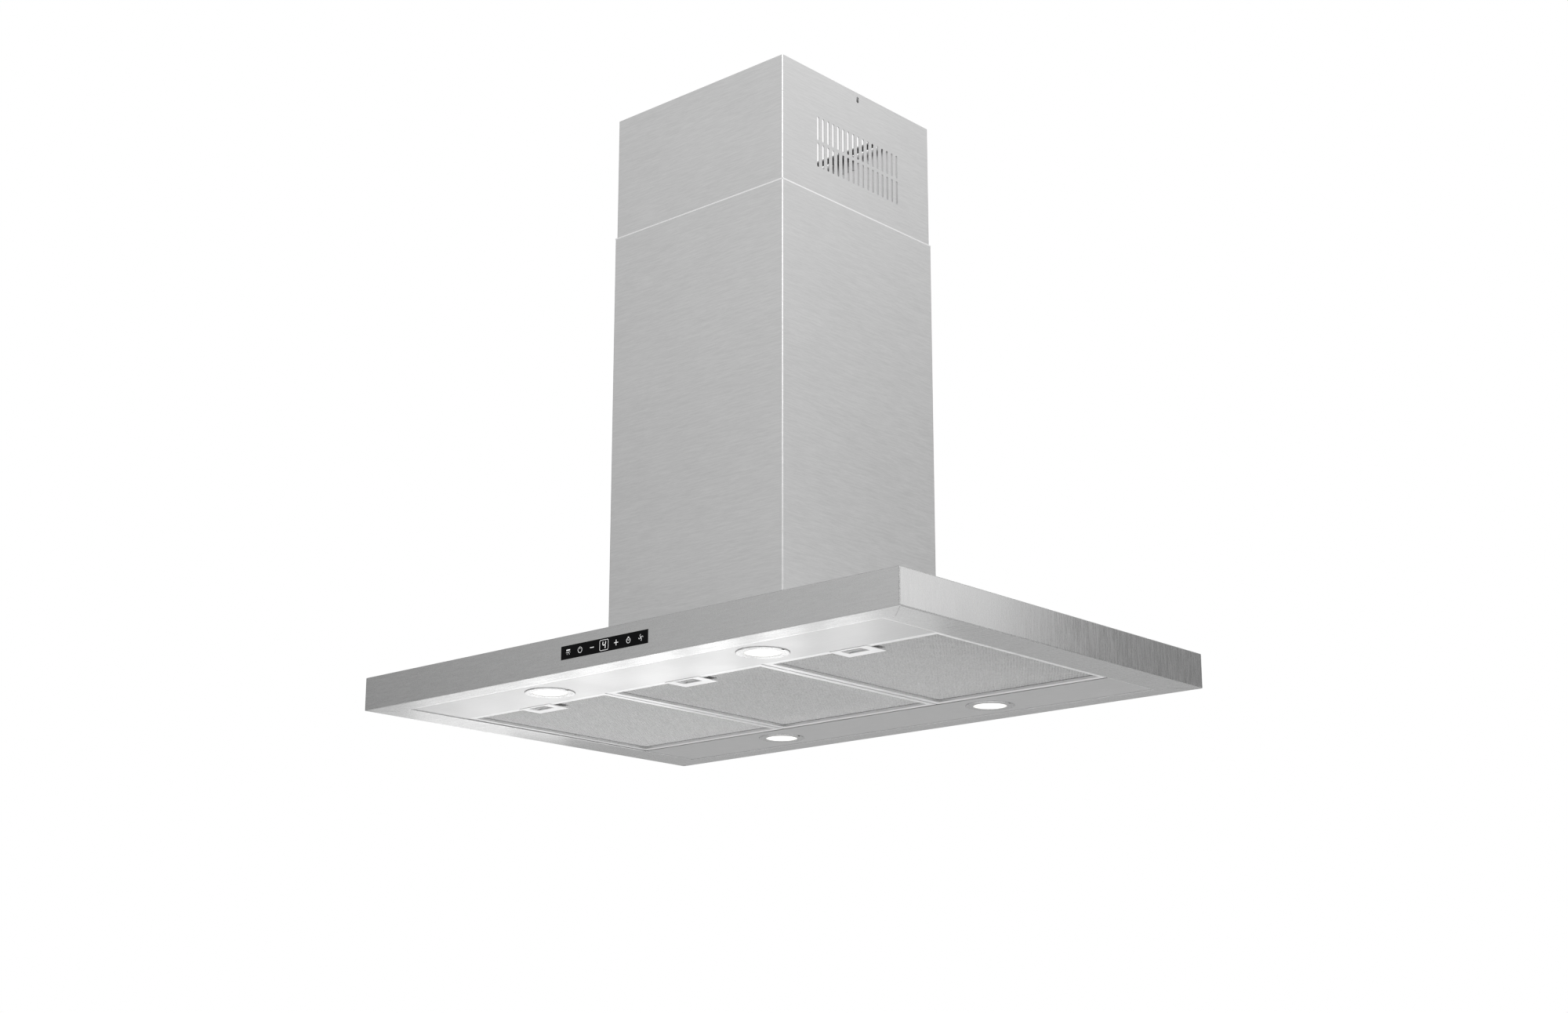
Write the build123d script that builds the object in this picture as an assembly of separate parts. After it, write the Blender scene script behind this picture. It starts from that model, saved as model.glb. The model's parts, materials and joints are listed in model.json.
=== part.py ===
from build123d import *
import math
import os

# Island range hood. Millimetres, +Z up, front is -Y.
# The origin is the centre of the ceiling bolt pattern, on the ceiling plane.

# ---------------------------------------------------------------- overall sizes
CANOPY_WIDTH = 900.0
CANOPY_DEPTH = 600.0
CANOPY_HEIGHT = 44.0
LOWER_COVER_SIDE = 300.0
LOWER_COVER_HEIGHT = 580.0
UPPER_COVER_HEIGHT = 400.0
UPPER_COVER_SHOWN = 172.0

# ---------------------------------------------------------------- chimney covers
COVER_SHEET = 0.8
COVER_GAP = 0.7
COVER_BEND = 1.5
CEILING_GAP = 0.5
VENT_COUNT = 17
VENT_PITCH = 10.0
VENT_WIDTH = 3.8
VENT_LENGTH = 32.6
VENT_ROW_PITCH = 36.9
VENT_TOP_ROW = 79.0
FIX_SLOT_WIDTH = 4.5
FIX_SLOT_LENGTH = 8.5
FIX_SLOT_DROP = 10.4
HANGER_WIDTH = 40.0
HANGER_DROP = 20.0
HANGER_SHEET = 0.8
HANGER_SCREW_X = 12.0
HANGER_OVERLAP = 2.0
COVER_FOOT_WIDTH = 40.0
COVER_FOOT_HEIGHT = 20.0
COVER_FOOT_REACH = 10.0
COVER_FOOT_SHEET = 1.0

# ---------------------------------------------------------------- ceiling side frame
BRACKET_SHEET = 2.0
BRACKET_FLANGE_SHEET = 1.5
BRACKET_DROP = 32.0
POST_SCREW_DROP = 19.2
BRACKET_WINDOW_X = 200.0
BRACKET_WINDOW_Y = 256.0
CEILING_BOLT_X = 240.0
CEILING_BOLT_Y = 200.0
CEILING_SLOT_WIDTH = 8.0
CEILING_SLOT_LENGTH = 22.0
POST_COVER_GAP = 5.7
POST_SHEET = 1.5
UPPER_LEG = 25.0
LOWER_LEG = 22.0
POST_SLIDE_GAP = 0.4
UPPER_POST_BOTTOM = 450.0
LOWER_POST_TOP = 196.0
STRAP_HEIGHT = 15.0
CLAMP_SCREW_R = 2.5
CLAMP_SLOT_WIDTH = 6.2
CLAMP_HEAD_R = 5.0
CLAMP_HEAD_HEIGHT = 2.8
CLAMP_SLIT_DEPTH = 1.2
CLAMP_SLIT_WIDTH = 1.2
CLAMP_SHANK_END = 5.0
CLAMP_NUT_FLATS = 8.0
CLAMP_NUT_HEIGHT = 4.0
CLAMP_UPPER_DROP = 216.0
CLAMP_SPACING = 40.0
TRAVEL_UP = 40.0
TRAVEL_DOWN = 150.0
SLOT_END_ROOM = 2.0
BRACE_HEIGHT = 20.0
BRACE_DROP = 310.0
POST_FOOT_SHEET = 2.0
POST_BOLT_R = 3.0
POST_BOLT_HEAD_HEIGHT = 4.0
POST_BOLT_FLATS = 10.0
POST_BOLT_END = 2.0

# ---------------------------------------------------------------- screws
SCREW_R = 2.0
SCREW_HEAD_R = 3.8
SCREW_HEAD_HEIGHT = 2.2
SCREW_DEPTH = 5.0
DRIVE_WIDTH = 0.9
DRIVE_ARM = 2.2
HOLE_OVERRUN = 1.0

# ---------------------------------------------------------------- canopy
CANOPY_SHEET = 1.0
CANOPY_BEND = 1.0
SIDE_RIM = 50.0
FRONT_RIM = 32.0
SEAM_WIDTH = 0.6
SEAM_DEPTH = 0.5
PANEL_LAP = 10.0
PANEL_SHEET = 1.0
FILTER_OPENING_DEPTH = 341.0
RAIL_LEG = 25.0
RAIL_HEIGHT = 12.0
RAIL_SET_BACK = 0.5
PLENUM_SHEET = 0.8
PLENUM_SIDE_GAP = 15.0
PLENUM_END_GAP = 9.5
PLENUM_FOOT = 8.0

# ---------------------------------------------------------------- filters
FILTER_COUNT = 3
FILTER_SIDE_GAP = 1.0
FILTER_END_GAP = 1.5
FILTER_SET_UP = 1.5
FILTER_FACE = 9.0
FILTER_FACE_DEPTH = 3.0
FILTER_WALL = 1.0
MESH_THICK = 5.0
MESH_SHEET = 0.6
FILTER_TOP_LIP = 5.0
FILTER_TOP_SHEET = 1.0
TONGUE_SPACING = 160.0
TONGUE_WIDTH = 24.0
TONGUE_REACH = 8.0
TONGUE_THICK = 1.2
TONGUE_CLEAR = 0.4
LATCH_PLATE_WIDTH = 56.0
LATCH_PLATE_DEPTH = 37.0
LATCH_PLATE_THICK = 0.8
LATCH_PLATE_CORNER = 1.5
LATCH_WINDOW_WIDTH = 31.0
LATCH_WINDOW_DEPTH = 17.5
LATCH_WINDOW_SET = 5.0
LATCH_POCKET_DEPTH = 22.0
LATCH_POCKET_TOP = 7.5
LATCH_WALL = 1.2
LATCH_FRONT_WALL = 3.5
SLIDER_THICK = 1.4
SLIDER_WIDTH = 24.0
SLIDER_DEPTH = 10.0
SLIDER_CLEAR = 0.4
GRIP_THICK = 1.5
GRIP_SET = 7.5
BOLT_WIDTH = 16.0
BOLT_REACH = 0.9
SPRING_R = 1.1
SPRING_WIRE_R = 0.25
SPRING_TURNS = 7

# ---------------------------------------------------------------- lamps
LAMP_X = 181.0
BEZEL_R = 32.0
BEZEL_NECK_R = 27.5
BEZEL_NECK_WALL = 3.0
BEZEL_NECK_TOP = 9.0
BEZEL_CHAMFER = 0.6
LENS_R = 22.0
LENS_THICK = 2.0
LENS_SET_UP = 0.5
LAMP_BODY_TOP = 20.0
LAMP_FIN_COUNT = 4
LAMP_FIN_DEPTH = 4.0
NOTCH_WIDTH = 5.0
NOTCH_DEPTH = 2.0
NOTCH_HEIGHT = 0.8
CLIP_WIDTH = 8.0
CLIP_SHEET = 0.6
CLIP_REACH = 11.0
CLIP_DROP = 2.0
CLIP_RISE = 2.0

# ---------------------------------------------------------------- touch panel
GLASS_WIDTH = 148.0
GLASS_HEIGHT = 16.4
GLASS_CENTRE_UP = 23.0
GLASS_GAP = 0.2
GLASS_LIP = 4.0
GLASS_BACK_THICK = 2.0
CONTROL_WALL = 3.0
CONTROL_DEPTH = 17.0
BOARD_SHEET = 1.6
BOARD_SET_BACK = 2.4
BOARD_EDGE_GAP = 1.5
CONTROL_LEDGE = 1.0
CONTROL_PEG_IN_X = 8.0
CONTROL_PEG_IN_Z = 5.0
DISPLAY_HALF_WIDTH = 7.0
DISPLAY_HALF_HEIGHT = 6.0
TOUCH_PADS = 7
TOUCH_PITCH = 20.0
TOUCH_PAD_R = 4.0
TOUCH_PAD_THICK = 1.0
PEG_R = 1.5

# ---------------------------------------------------------------- blower
BOX_WIDTH = 216.0
BOX_DEPTH = 256.0
BOX_HEIGHT = 286.0
BOX_SHEET = 0.8
BOX_FLANGE = 9.0
INLET_WINDOW_X = 200.0
INLET_WINDOW_Y = 240.0
SCROLL_HALF_WIDTH = 72.0
SCROLL_WALL = 1.8
SCROLL_AXIS_Y = -12.0
SCROLL_AXIS_UP = 121.0
SCROLL_START_R = 76.0
SCROLL_GROWTH = 30.0
SCROLL_TONGUE_DEG = 60.0
SCROLL_OUTLET_HALF = 75.0
SCROLL_FLANGE = 8.0
SCROLL_FLANGE_THICK = 2.0
SCROLL_POINTS = 12
SCROLL_HOLE_DEPTH = 10.0
INLET_R = 52.0
INLET_FLANGE_R = 59.0
INLET_THICK = 1.5
INLET_THROAT = 8.0
INLET_MOUTH_R = 1.2
BLADE_COUNT = 36
BLADE_OUTER_R = 72.0
BLADE_INNER_R = 60.0
BLADE_THICK = 1.0
BLADE_SWEEP_DEG = 14.0
BLADE_MIDDLE_BOW = 0.7
BLADE_OUTER_BOW = 1.6
IMPELLER_HALF_WIDTH = 60.0
IMPELLER_RING = 2.0
IMPELLER_DISC = 2.0
HUB_R = 12.0
HUB_LENGTH = 16.0
SHAFT_R = 4.0
SHAFT_RUNNING_GAP = 0.05
SHAFT_INNER_END = 3.0
SHAFT_OUTER_END = 4.0
SHAFT_CLEAR = 1.0
MOTOR_R = 36.0
MOTOR_START = 12.0
MOTOR_LENGTH = 54.0
MOTOR_BOSS_R = 15.0
MOTOR_EDGE = 3.0
MOTOR_SLOT_COUNT = 12
MOTOR_SLOT_MARGIN = 12.0
MOTOR_SLOT_DEPTH = 3.0
MOTOR_SLOT_HALF = 3.0
MOTOR_FOOT_ANGLES = (90, 210, 330)
ARM_SHEET = 2.0
ARM_WIDTH = 14.0
ARM_REACH = 66.0
ARM_HUB_LAP = 4.0
BUSH_R = 5.5
BUSH_HEIGHT = 5.0

# ---------------------------------------------------------------- outlet and damper
OUTLET_R = 75.0
OUTLET_WALL = 1.5
OUTLET_LENGTH = 53.0
OUTLET_FLANGE = 13.0
OUTLET_FLANGE_THICK = 2.0
DAMPER_UP = 22.0
DAMPER_PIN_R = 1.5
DAMPER_PIN_GAP = 0.05
KNUCKLE_WALL = 1.5
FLAP_THICK = 1.0
FLAP_EDGE_GAP = 1.0
KNUCKLE_LENGTH = 24.0
KNUCKLE_GAP = 0.5
KNUCKLE_LAP = 1.0
FLAP_PIN_GAP = 0.5
STOP_RING = 3.0
STOP_THICK = 1.5
STOP_CLEAR = 0.3

# ---------------------------------------------------------------- electrics
ELEC_DEPTH_X = 28.0
ELEC_WIDTH_Y = 110.0
ELEC_HEIGHT = 120.0
ELEC_UP = 66.0
ELEC_WALL = 1.8
ELEC_LID = 1.5
ELEC_LID_CORNER = 3.0
BOARD_MARGIN = 4.0
POWER_PEG_IN_Z = 6.0
POWER_PEG_IN_Y = 12.0
POWER_BOARD_HEIGHT = 72.0
POWER_BOARD_SET = 3.5
TRANSFORMER_SIZE = (16.0, 30.0, 24.0)
TRANSFORMER_PLACE = (6.0, 10.0)
RELAY_SIZE = (12.0, 15.0, 20.0)
RELAY_PLACE = (4.0, 12.0)
RELAY_PITCH = 20.0
RELAY_COUNT = 2
CONNECTOR_SIZE = (8.0, 14.0, 10.0)
CONNECTOR_PLACE = (10.0, 56.0)
CONNECTOR_PITCH = 22.0
CONNECTOR_COUNT = 4
CAPACITOR_R = 11.0
CAPACITOR_LENGTH = 48.0
CAPACITOR_TOP_GAP = 2.0
CAPACITOR_END_GAP = 3.0
CAPACITOR_EDGE = 1.0
TAB_SPACING = 8.0
TAB_THICK = 0.8
TAB_LENGTH = 6.0
TAB_WIDTH = 5.0
TERMINAL_LENGTH = 36.0
TERMINAL_HEIGHT = 20.0
TERMINAL_DEPTH = 15.0
TERMINAL_WAYS = 6
TERMINAL_MARGIN = 4.0
TERMINAL_SCREW_IN = 5.0
TERMINAL_SCREW_DEPTH = 4.0
TERMINAL_SCREW_SHARE = 0.3
TERMINAL_WIRE_SHARE = 0.25
TERMINAL_WIRE_DEPTH = 6.0
GLAND_X = 86.0
GLAND_Y = 106.0
GLAND_BORE_R = 3.8
GLAND_THREAD_R = 6.0
GLAND_NUT_FLATS = 18.0
GLAND_NUT_HEIGHT = 5.0
GLAND_DOME_R = 8.5
GLAND_DOME_HEIGHT = 11.0
GLAND_DOME_EDGE = 3.0
GLAND_BELOW = 8.0
GLAND_LOCK_HEIGHT = 3.5

# ---------------------------------------------------------------- worked-out levels
LOWER_COVER_TOP = -UPPER_COVER_SHOWN
CANOPY_TOP = LOWER_COVER_TOP - LOWER_COVER_HEIGHT
CANOPY_BOTTOM = CANOPY_TOP - CANOPY_HEIGHT
RIM_TOP = CANOPY_BOTTOM + CANOPY_SHEET
PANEL_TOP = RIM_TOP + PANEL_SHEET
UPPER_COVER_SIDE = LOWER_COVER_SIDE - 2 * (COVER_SHEET + COVER_GAP)
UPPER_INNER = UPPER_COVER_SIDE / 2 - COVER_SHEET
LOWER_INNER = LOWER_COVER_SIDE / 2 - COVER_SHEET
UPPER_POST_OUT = UPPER_INNER - POST_COVER_GAP
LOWER_POST_OUT = UPPER_POST_OUT - POST_SHEET - POST_SLIDE_GAP
LOWER_POST_IN = LOWER_POST_OUT - POST_SHEET
CLAMP_Y = UPPER_POST_OUT - UPPER_LEG / 2
POST_BOLT_XY = LOWER_POST_OUT - LOWER_LEG / 2
OPENING_X = CANOPY_WIDTH / 2 - SIDE_RIM
OPENING_Y = CANOPY_DEPTH / 2 - FRONT_RIM
LAMP_Y = (OPENING_Y + FILTER_OPENING_DEPTH / 2) / 2
BOX_TOP = CANOPY_TOP + BOX_HEIGHT
BOX_INNER_TOP = BOX_TOP - BOX_SHEET
SCROLL_AXIS_Z = CANOPY_TOP + SCROLL_AXIS_UP
SCROLL_FACE_X = SCROLL_HALF_WIDTH + SCROLL_WALL
FILTER_PITCH = 2 * OPENING_X / FILTER_COUNT
FILTER_WIDTH = FILTER_PITCH - 2 * FILTER_SIDE_GAP
FILTER_DEPTH = FILTER_OPENING_DEPTH - 2 * FILTER_END_GAP
FILTER_BOTTOM = CANOPY_BOTTOM + FILTER_SET_UP
MESH_BOTTOM = FILTER_BOTTOM + FILTER_FACE_DEPTH
MESH_TOP = MESH_BOTTOM + MESH_THICK
FILTER_TOP = MESH_TOP + FILTER_TOP_SHEET
OUTLET_TOP = BOX_TOP + OUTLET_LENGTH
DAMPER_Z = BOX_TOP + DAMPER_UP
OUTLET_FLANGE_R = OUTLET_R + OUTLET_FLANGE
OUTLET_SCREW_R = OUTLET_R + OUTLET_FLANGE / 2
KNUCKLE_R = DAMPER_PIN_R + DAMPER_PIN_GAP + KNUCKLE_WALL
ELEC_X = BOX_WIDTH / 2
ELEC_BOTTOM = CANOPY_TOP + ELEC_UP

SIDES = (-1, 1)
CORNERS = [(sx, sy) for sx in SIDES for sy in SIDES]


# ---------------------------------------------------------------- helpers
def block(x0, x1, y0, y1, z0, z1):
    """A box between two corners, given in any order."""
    size = Box(abs(x1 - x0), abs(y1 - y0), abs(z1 - z0))
    return Pos((x0 + x1) / 2, (y0 + y1) / 2, (z0 + z1) / 2) * size


def rod_z(radius, x, y, z0, z1):
    return Pos(x, y, (z0 + z1) / 2) * Cylinder(radius, abs(z1 - z0))


def rod_x(radius, x0, x1, y, z):
    return Pos((x0 + x1) / 2, y, z) * Rot(0, 90, 0) * Cylinder(radius, abs(x1 - x0))


def rod_y(radius, x, y0, y1, z):
    return Pos(x, (y0 + y1) / 2, z) * Rot(90, 0, 0) * Cylinder(radius, abs(y1 - y0))


def hex_z(flats, x, y, z0, z1):
    outline = Pos(x, y, z0) * RegularPolygon(flats / 2, 6, major_radius=False)
    return extrude(outline, z1 - z0)


def square_ring(outer, inner, z0, z1):
    """A square tube given by its half sides."""
    return block(-outer, outer, -outer, outer, z0, z1) - block(-inner, inner, -inner, inner, z0, z1)


def rounded_square_tube(side, sheet, bend, z0, z1):
    """A folded square sheet tube with bent corners."""
    outside = RectangleRounded(side, side, bend)
    inside = RectangleRounded(side - 2 * sheet, side - 2 * sheet, bend - sheet)
    return extrude(Pos(0, 0, z0) * (outside - inside), z1 - z0)


def rect_ring(x0, x1, y0, y1, z0, z1, width):
    """A flat rectangular frame of one width."""
    hole = block(x0 + width, x1 - width, y0 + width, y1 - width, z0, z1)
    return block(x0, x1, y0, y1, z0, z1) - hole


def along_x(length, width, y, z, rotation=90):
    """A cutter across the whole part along X, with round ends; it stands upright by default."""
    outline = Plane.YZ * (Pos(y, z) * SlotOverall(length, width, rotation=rotation))
    return extrude(outline, CANOPY_WIDTH, both=True)


def screw(point, direction, under_head=SCREW_DEPTH):
    """A cross-head screw. The head's flat underside is at point; direction points into the work."""
    head = Pos(0, 0, -SCREW_HEAD_HEIGHT / 2) * Cylinder(SCREW_HEAD_R, SCREW_HEAD_HEIGHT)
    head = fillet(head.edges().group_by(Axis.Z)[0], SCREW_HEAD_HEIGHT / 2)
    shank = Pos(0, 0, under_head / 2) * Cylinder(SCREW_R, under_head)
    arm = DRIVE_ARM
    top = -SCREW_HEAD_HEIGHT
    cross = block(-arm, arm, -DRIVE_WIDTH / 2, DRIVE_WIDTH / 2, top, top / 2)
    cross += block(-DRIVE_WIDTH / 2, DRIVE_WIDTH / 2, -arm, arm, top, top / 2)
    return Plane(origin=point, z_dir=direction) * (head + shank - cross)


def hole(point, direction, radius=SCREW_R, depth=SCREW_DEPTH):
    """The clearance cutter that goes with a screw."""
    shape = Pos(0, 0, depth / 2 - HOLE_OVERRUN) * Cylinder(radius, depth + 2 * HOLE_OVERRUN)
    return Plane(origin=point, z_dir=direction) * shape


def group(solids):
    """Separate solids kept together in one node."""
    return Compound(children=list(solids))


# ---------------------------------------------------------------- screw places
def post_screw_places():
    out = UPPER_POST_OUT + BRACKET_FLANGE_SHEET
    z = -POST_SCREW_DROP
    return [((sx * out, sy * CLAMP_Y, z), (-sx, 0, 0)) for sx, sy in CORNERS]


def hanger_screw_places():
    y = (UPPER_POST_OUT + BRACKET_WINDOW_Y / 2) / 2
    z = -BRACKET_SHEET - HANGER_SHEET
    return [((sx * HANGER_SCREW_X, sy * y, z), (0, 0, 1)) for sx, sy in CORNERS]


def box_flange_screw_places():
    z = CANOPY_TOP + BOX_SHEET
    end_y = BOX_DEPTH / 2 + BOX_FLANGE / 2
    side_x = BOX_WIDTH / 2 + BOX_FLANGE / 2
    ends = [((sx * BOX_WIDTH / 3, sy * end_y, z), (0, 0, -1)) for sx, sy in CORNERS]
    sides = [((sx * side_x, sy * BOX_DEPTH / 3, z), (0, 0, -1)) for sx, sy in CORNERS]
    return ends + sides


def scroll_screw_places():
    x = SCROLL_FACE_X + SCROLL_FLANGE / 2
    y = SCROLL_OUTLET_HALF + SCROLL_WALL + SCROLL_FLANGE / 2
    return [((sx * x, sy * y, BOX_TOP), (0, 0, -1)) for sx, sy in CORNERS]


def collar_screw_places():
    r = OUTLET_SCREW_R * math.sqrt(0.5)
    z = BOX_TOP + OUTLET_FLANGE_THICK
    return [((sx * r, sy * r, z), (0, 0, -1)) for sx, sy in CORNERS]


def cover_foot_screw_places():
    reach = LOWER_INNER - COVER_FOOT_REACH / 2
    z = CANOPY_TOP - CANOPY_SHEET
    on_x = [((s * reach, 0, z), (0, 0, 1)) for s in SIDES]
    on_y = [((0, s * reach, z), (0, 0, 1)) for s in SIDES]
    return on_x + on_y


def motor_foot_places():
    """Centres of the three motor feet, as (y, z)."""
    places = []
    for angle in MOTOR_FOOT_ANGLES:
        y = SCROLL_AXIS_Y + ARM_REACH * math.cos(math.radians(angle))
        z = SCROLL_AXIS_Z + ARM_REACH * math.sin(math.radians(angle))
        places.append((y, z))
    return places


def motor_screw_places():
    x = SCROLL_FACE_X + BUSH_HEIGHT + ARM_SHEET
    return [((x, y, z), (-1, 0, 0)) for y, z in motor_foot_places()]


# ---------------------------------------------------------------- ceiling side
def ceiling_bracket():
    """Open frame plate with turned-down side flanges and four slots for the ceiling bolts."""
    out = UPPER_POST_OUT + BRACKET_FLANGE_SHEET
    shape = block(-out, out, -UPPER_POST_OUT, UPPER_POST_OUT, -BRACKET_SHEET, 0)
    window_x = BRACKET_WINDOW_X / 2
    window_y = BRACKET_WINDOW_Y / 2
    shape -= block(-window_x, window_x, -window_y, window_y, -BRACKET_SHEET, 0)
    for side in SIDES:
        shape += block(side * UPPER_POST_OUT, side * out, -UPPER_POST_OUT, UPPER_POST_OUT, -BRACKET_DROP, 0)
    for sx, sy in CORNERS:
        slot = SlotOverall(CEILING_SLOT_LENGTH, CEILING_SLOT_WIDTH)
        place = Pos(sx * CEILING_BOLT_X / 2, sy * CEILING_BOLT_Y / 2, -BRACKET_SHEET)
        shape -= extrude(place * slot, BRACKET_SHEET)
    for point, direction in post_screw_places() + hanger_screw_places():
        shape -= hole(point, direction)
    return shape


def corner_angle(sx, sy, out, leg, z0, z1):
    """An angle section in one corner, its outer faces at out."""
    flat_x = block(sx * out, sx * (out - POST_SHEET), sy * out, sy * (out - leg), z0, z1)
    flat_y = block(sx * out, sx * (out - leg), sy * out, sy * (out - POST_SHEET), z0, z1)
    return flat_x + flat_y


def upper_posts():
    """Four angle posts with the long slots that the height clamp screws run in."""
    slot_top = -CLAMP_UPPER_DROP + TRAVEL_UP + CLAMP_SCREW_R + SLOT_END_ROOM
    slot_bottom = -CLAMP_UPPER_DROP - CLAMP_SPACING - TRAVEL_DOWN - CLAMP_SCREW_R - SLOT_END_ROOM
    length = slot_top - slot_bottom
    posts = []
    for sx, sy in CORNERS:
        post = corner_angle(sx, sy, UPPER_POST_OUT, UPPER_LEG, -UPPER_POST_BOTTOM, -BRACKET_SHEET)
        post -= along_x(length, CLAMP_SLOT_WIDTH, sy * CLAMP_Y, (slot_top + slot_bottom) / 2)
        for point, direction in post_screw_places():
            post -= hole(point, direction)
        posts.append(post)
    return group(posts)


def upper_frame_strap():
    """The band that joins the lower ends of the upper posts."""
    bottom = -UPPER_POST_BOTTOM
    return square_ring(UPPER_POST_OUT + POST_SHEET, UPPER_POST_OUT, bottom, bottom + STRAP_HEIGHT)


def upper_cover():
    """Upper chimney cover with two rows of vents and a fixing slot on each side face."""
    top = -CEILING_GAP
    shape = rounded_square_tube(UPPER_COVER_SIDE, COVER_SHEET, COVER_BEND, top - UPPER_COVER_HEIGHT, top)
    vents = []
    for row in range(2):
        for column in range(VENT_COUNT):
            y = (column - (VENT_COUNT - 1) / 2) * VENT_PITCH
            z = -VENT_TOP_ROW - row * VENT_ROW_PITCH
            vents.append(along_x(VENT_LENGTH, VENT_WIDTH, y, z))
    vents.append(along_x(FIX_SLOT_LENGTH, FIX_SLOT_WIDTH, 0, -FIX_SLOT_DROP))
    return shape - vents


def upper_cover_hangers():
    """Two angles welded inside the upper cover; their top legs are screwed under the bracket."""
    hangers = []
    top = -BRACKET_SHEET
    reach = BRACKET_WINDOW_Y / 2 + HANGER_OVERLAP
    half = HANGER_WIDTH / 2
    for side in SIDES:
        wall = UPPER_INNER - HANGER_SHEET
        hanger = block(-half, half, side * UPPER_INNER, side * wall, top - HANGER_DROP, top)
        hanger += block(-half, half, side * UPPER_INNER, side * reach, top - HANGER_SHEET, top)
        for point, direction in hanger_screw_places():
            hanger -= hole(point, direction)
        hangers.append(hanger)
    return group(hangers)


def ceiling_frame_screws():
    """Screws of the posts and of the cover's hangers; none stands above the ceiling plane."""
    through_hanger = HANGER_SHEET + BRACKET_SHEET
    screws = [screw(point, direction) for point, direction in post_screw_places()]
    screws += [screw(point, direction, through_hanger) for point, direction in hanger_screw_places()]
    return group(screws)


# ---------------------------------------------------------------- hood side frame
def clamp_heights():
    return [-CLAMP_UPPER_DROP, -CLAMP_UPPER_DROP - CLAMP_SPACING]


def lower_posts():
    """Four angle posts that slide inside the upper ones, each on a bolted foot."""
    posts = []
    for sx, sy in CORNERS:
        post = corner_angle(sx, sy, LOWER_POST_OUT, LOWER_LEG, CANOPY_TOP, -LOWER_POST_TOP)
        far = LOWER_POST_OUT - LOWER_LEG
        post += block(sx * LOWER_POST_OUT, sx * far, sy * LOWER_POST_OUT, sy * far,
                      CANOPY_TOP, CANOPY_TOP + POST_FOOT_SHEET)
        post -= rod_z(POST_BOLT_R, sx * POST_BOLT_XY, sy * POST_BOLT_XY, CANOPY_TOP,
                      CANOPY_TOP + POST_FOOT_SHEET)
        for z in clamp_heights():
            post -= rod_x(CLAMP_SCREW_R, sx * LOWER_POST_OUT, sx * LOWER_POST_IN, sy * CLAMP_Y, z)
        posts.append(post)
    return group(posts)


def lower_frame_brace():
    """A square band inside the lower posts."""
    top = -BRACE_DROP
    return square_ring(LOWER_POST_IN, LOWER_POST_IN - POST_SHEET, top - BRACE_HEIGHT, top)


def post_bolts():
    """Hex bolts that hold the post feet to the canopy top, each with its nut."""
    bolts = []
    head_z = CANOPY_TOP + POST_FOOT_SHEET
    nut_z = CANOPY_TOP - CANOPY_SHEET
    for sx, sy in CORNERS:
        x = sx * POST_BOLT_XY
        y = sy * POST_BOLT_XY
        bolt = hex_z(POST_BOLT_FLATS, x, y, head_z, head_z + POST_BOLT_HEAD_HEIGHT)
        bolt += rod_z(POST_BOLT_R, x, y, nut_z - POST_BOLT_HEAD_HEIGHT - POST_BOLT_END, head_z)
        bolt += hex_z(POST_BOLT_FLATS, x, y, nut_z - POST_BOLT_HEAD_HEIGHT, nut_z)
        bolts.append(bolt)
    return group(bolts)


def height_clamp_screws():
    """Clamp screws through the lower posts; their heads ride outside the upper posts."""
    screws = []
    under_head = UPPER_POST_OUT + POST_SLIDE_GAP
    nut_face = LOWER_POST_IN
    for sx, sy in CORNERS:
        for z in clamp_heights():
            y = sy * CLAMP_Y
            head = rod_x(CLAMP_HEAD_R, sx * under_head, sx * (under_head + CLAMP_HEAD_HEIGHT), y, z)
            slit_x = sx * (under_head + CLAMP_HEAD_HEIGHT)
            slit_half = CLAMP_SLIT_WIDTH / 2
            head -= block(slit_x, slit_x - sx * CLAMP_SLIT_DEPTH, y - CLAMP_HEAD_R, y + CLAMP_HEAD_R,
                          z - slit_half, z + slit_half)
            shank = rod_x(CLAMP_SCREW_R, sx * (nut_face - CLAMP_SHANK_END), sx * under_head, y, z)
            nut = hex_z(CLAMP_NUT_FLATS, 0, 0, 0, CLAMP_NUT_HEIGHT)
            nut = Plane(origin=(sx * nut_face, y, z), z_dir=(-sx, 0, 0)) * nut
            screws.append(head + shank + nut)
    return group(screws)


def lower_cover():
    """Lower chimney cover; it stands on the canopy."""
    return rounded_square_tube(LOWER_COVER_SIDE, COVER_SHEET, COVER_BEND, CANOPY_TOP, LOWER_COVER_TOP)


def lower_cover_feet():
    """Four angles welded inside the lower cover, screwed to the canopy from below."""
    feet = []
    half = COVER_FOOT_WIDTH / 2
    wall = LOWER_INNER - COVER_FOOT_SHEET
    reach = LOWER_INNER - COVER_FOOT_REACH
    for side in SIDES:
        foot = block(-half, half, side * LOWER_INNER, side * wall, CANOPY_TOP, CANOPY_TOP + COVER_FOOT_HEIGHT)
        foot += block(-half, half, side * LOWER_INNER, side * reach, CANOPY_TOP,
                      CANOPY_TOP + COVER_FOOT_SHEET)
        feet.append(foot)
        feet.append(Rot(0, 0, 90) * foot)
    cutters = [hole(point, direction) for point, direction in cover_foot_screw_places()]
    return group(foot - cutters for foot in feet)


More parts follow.
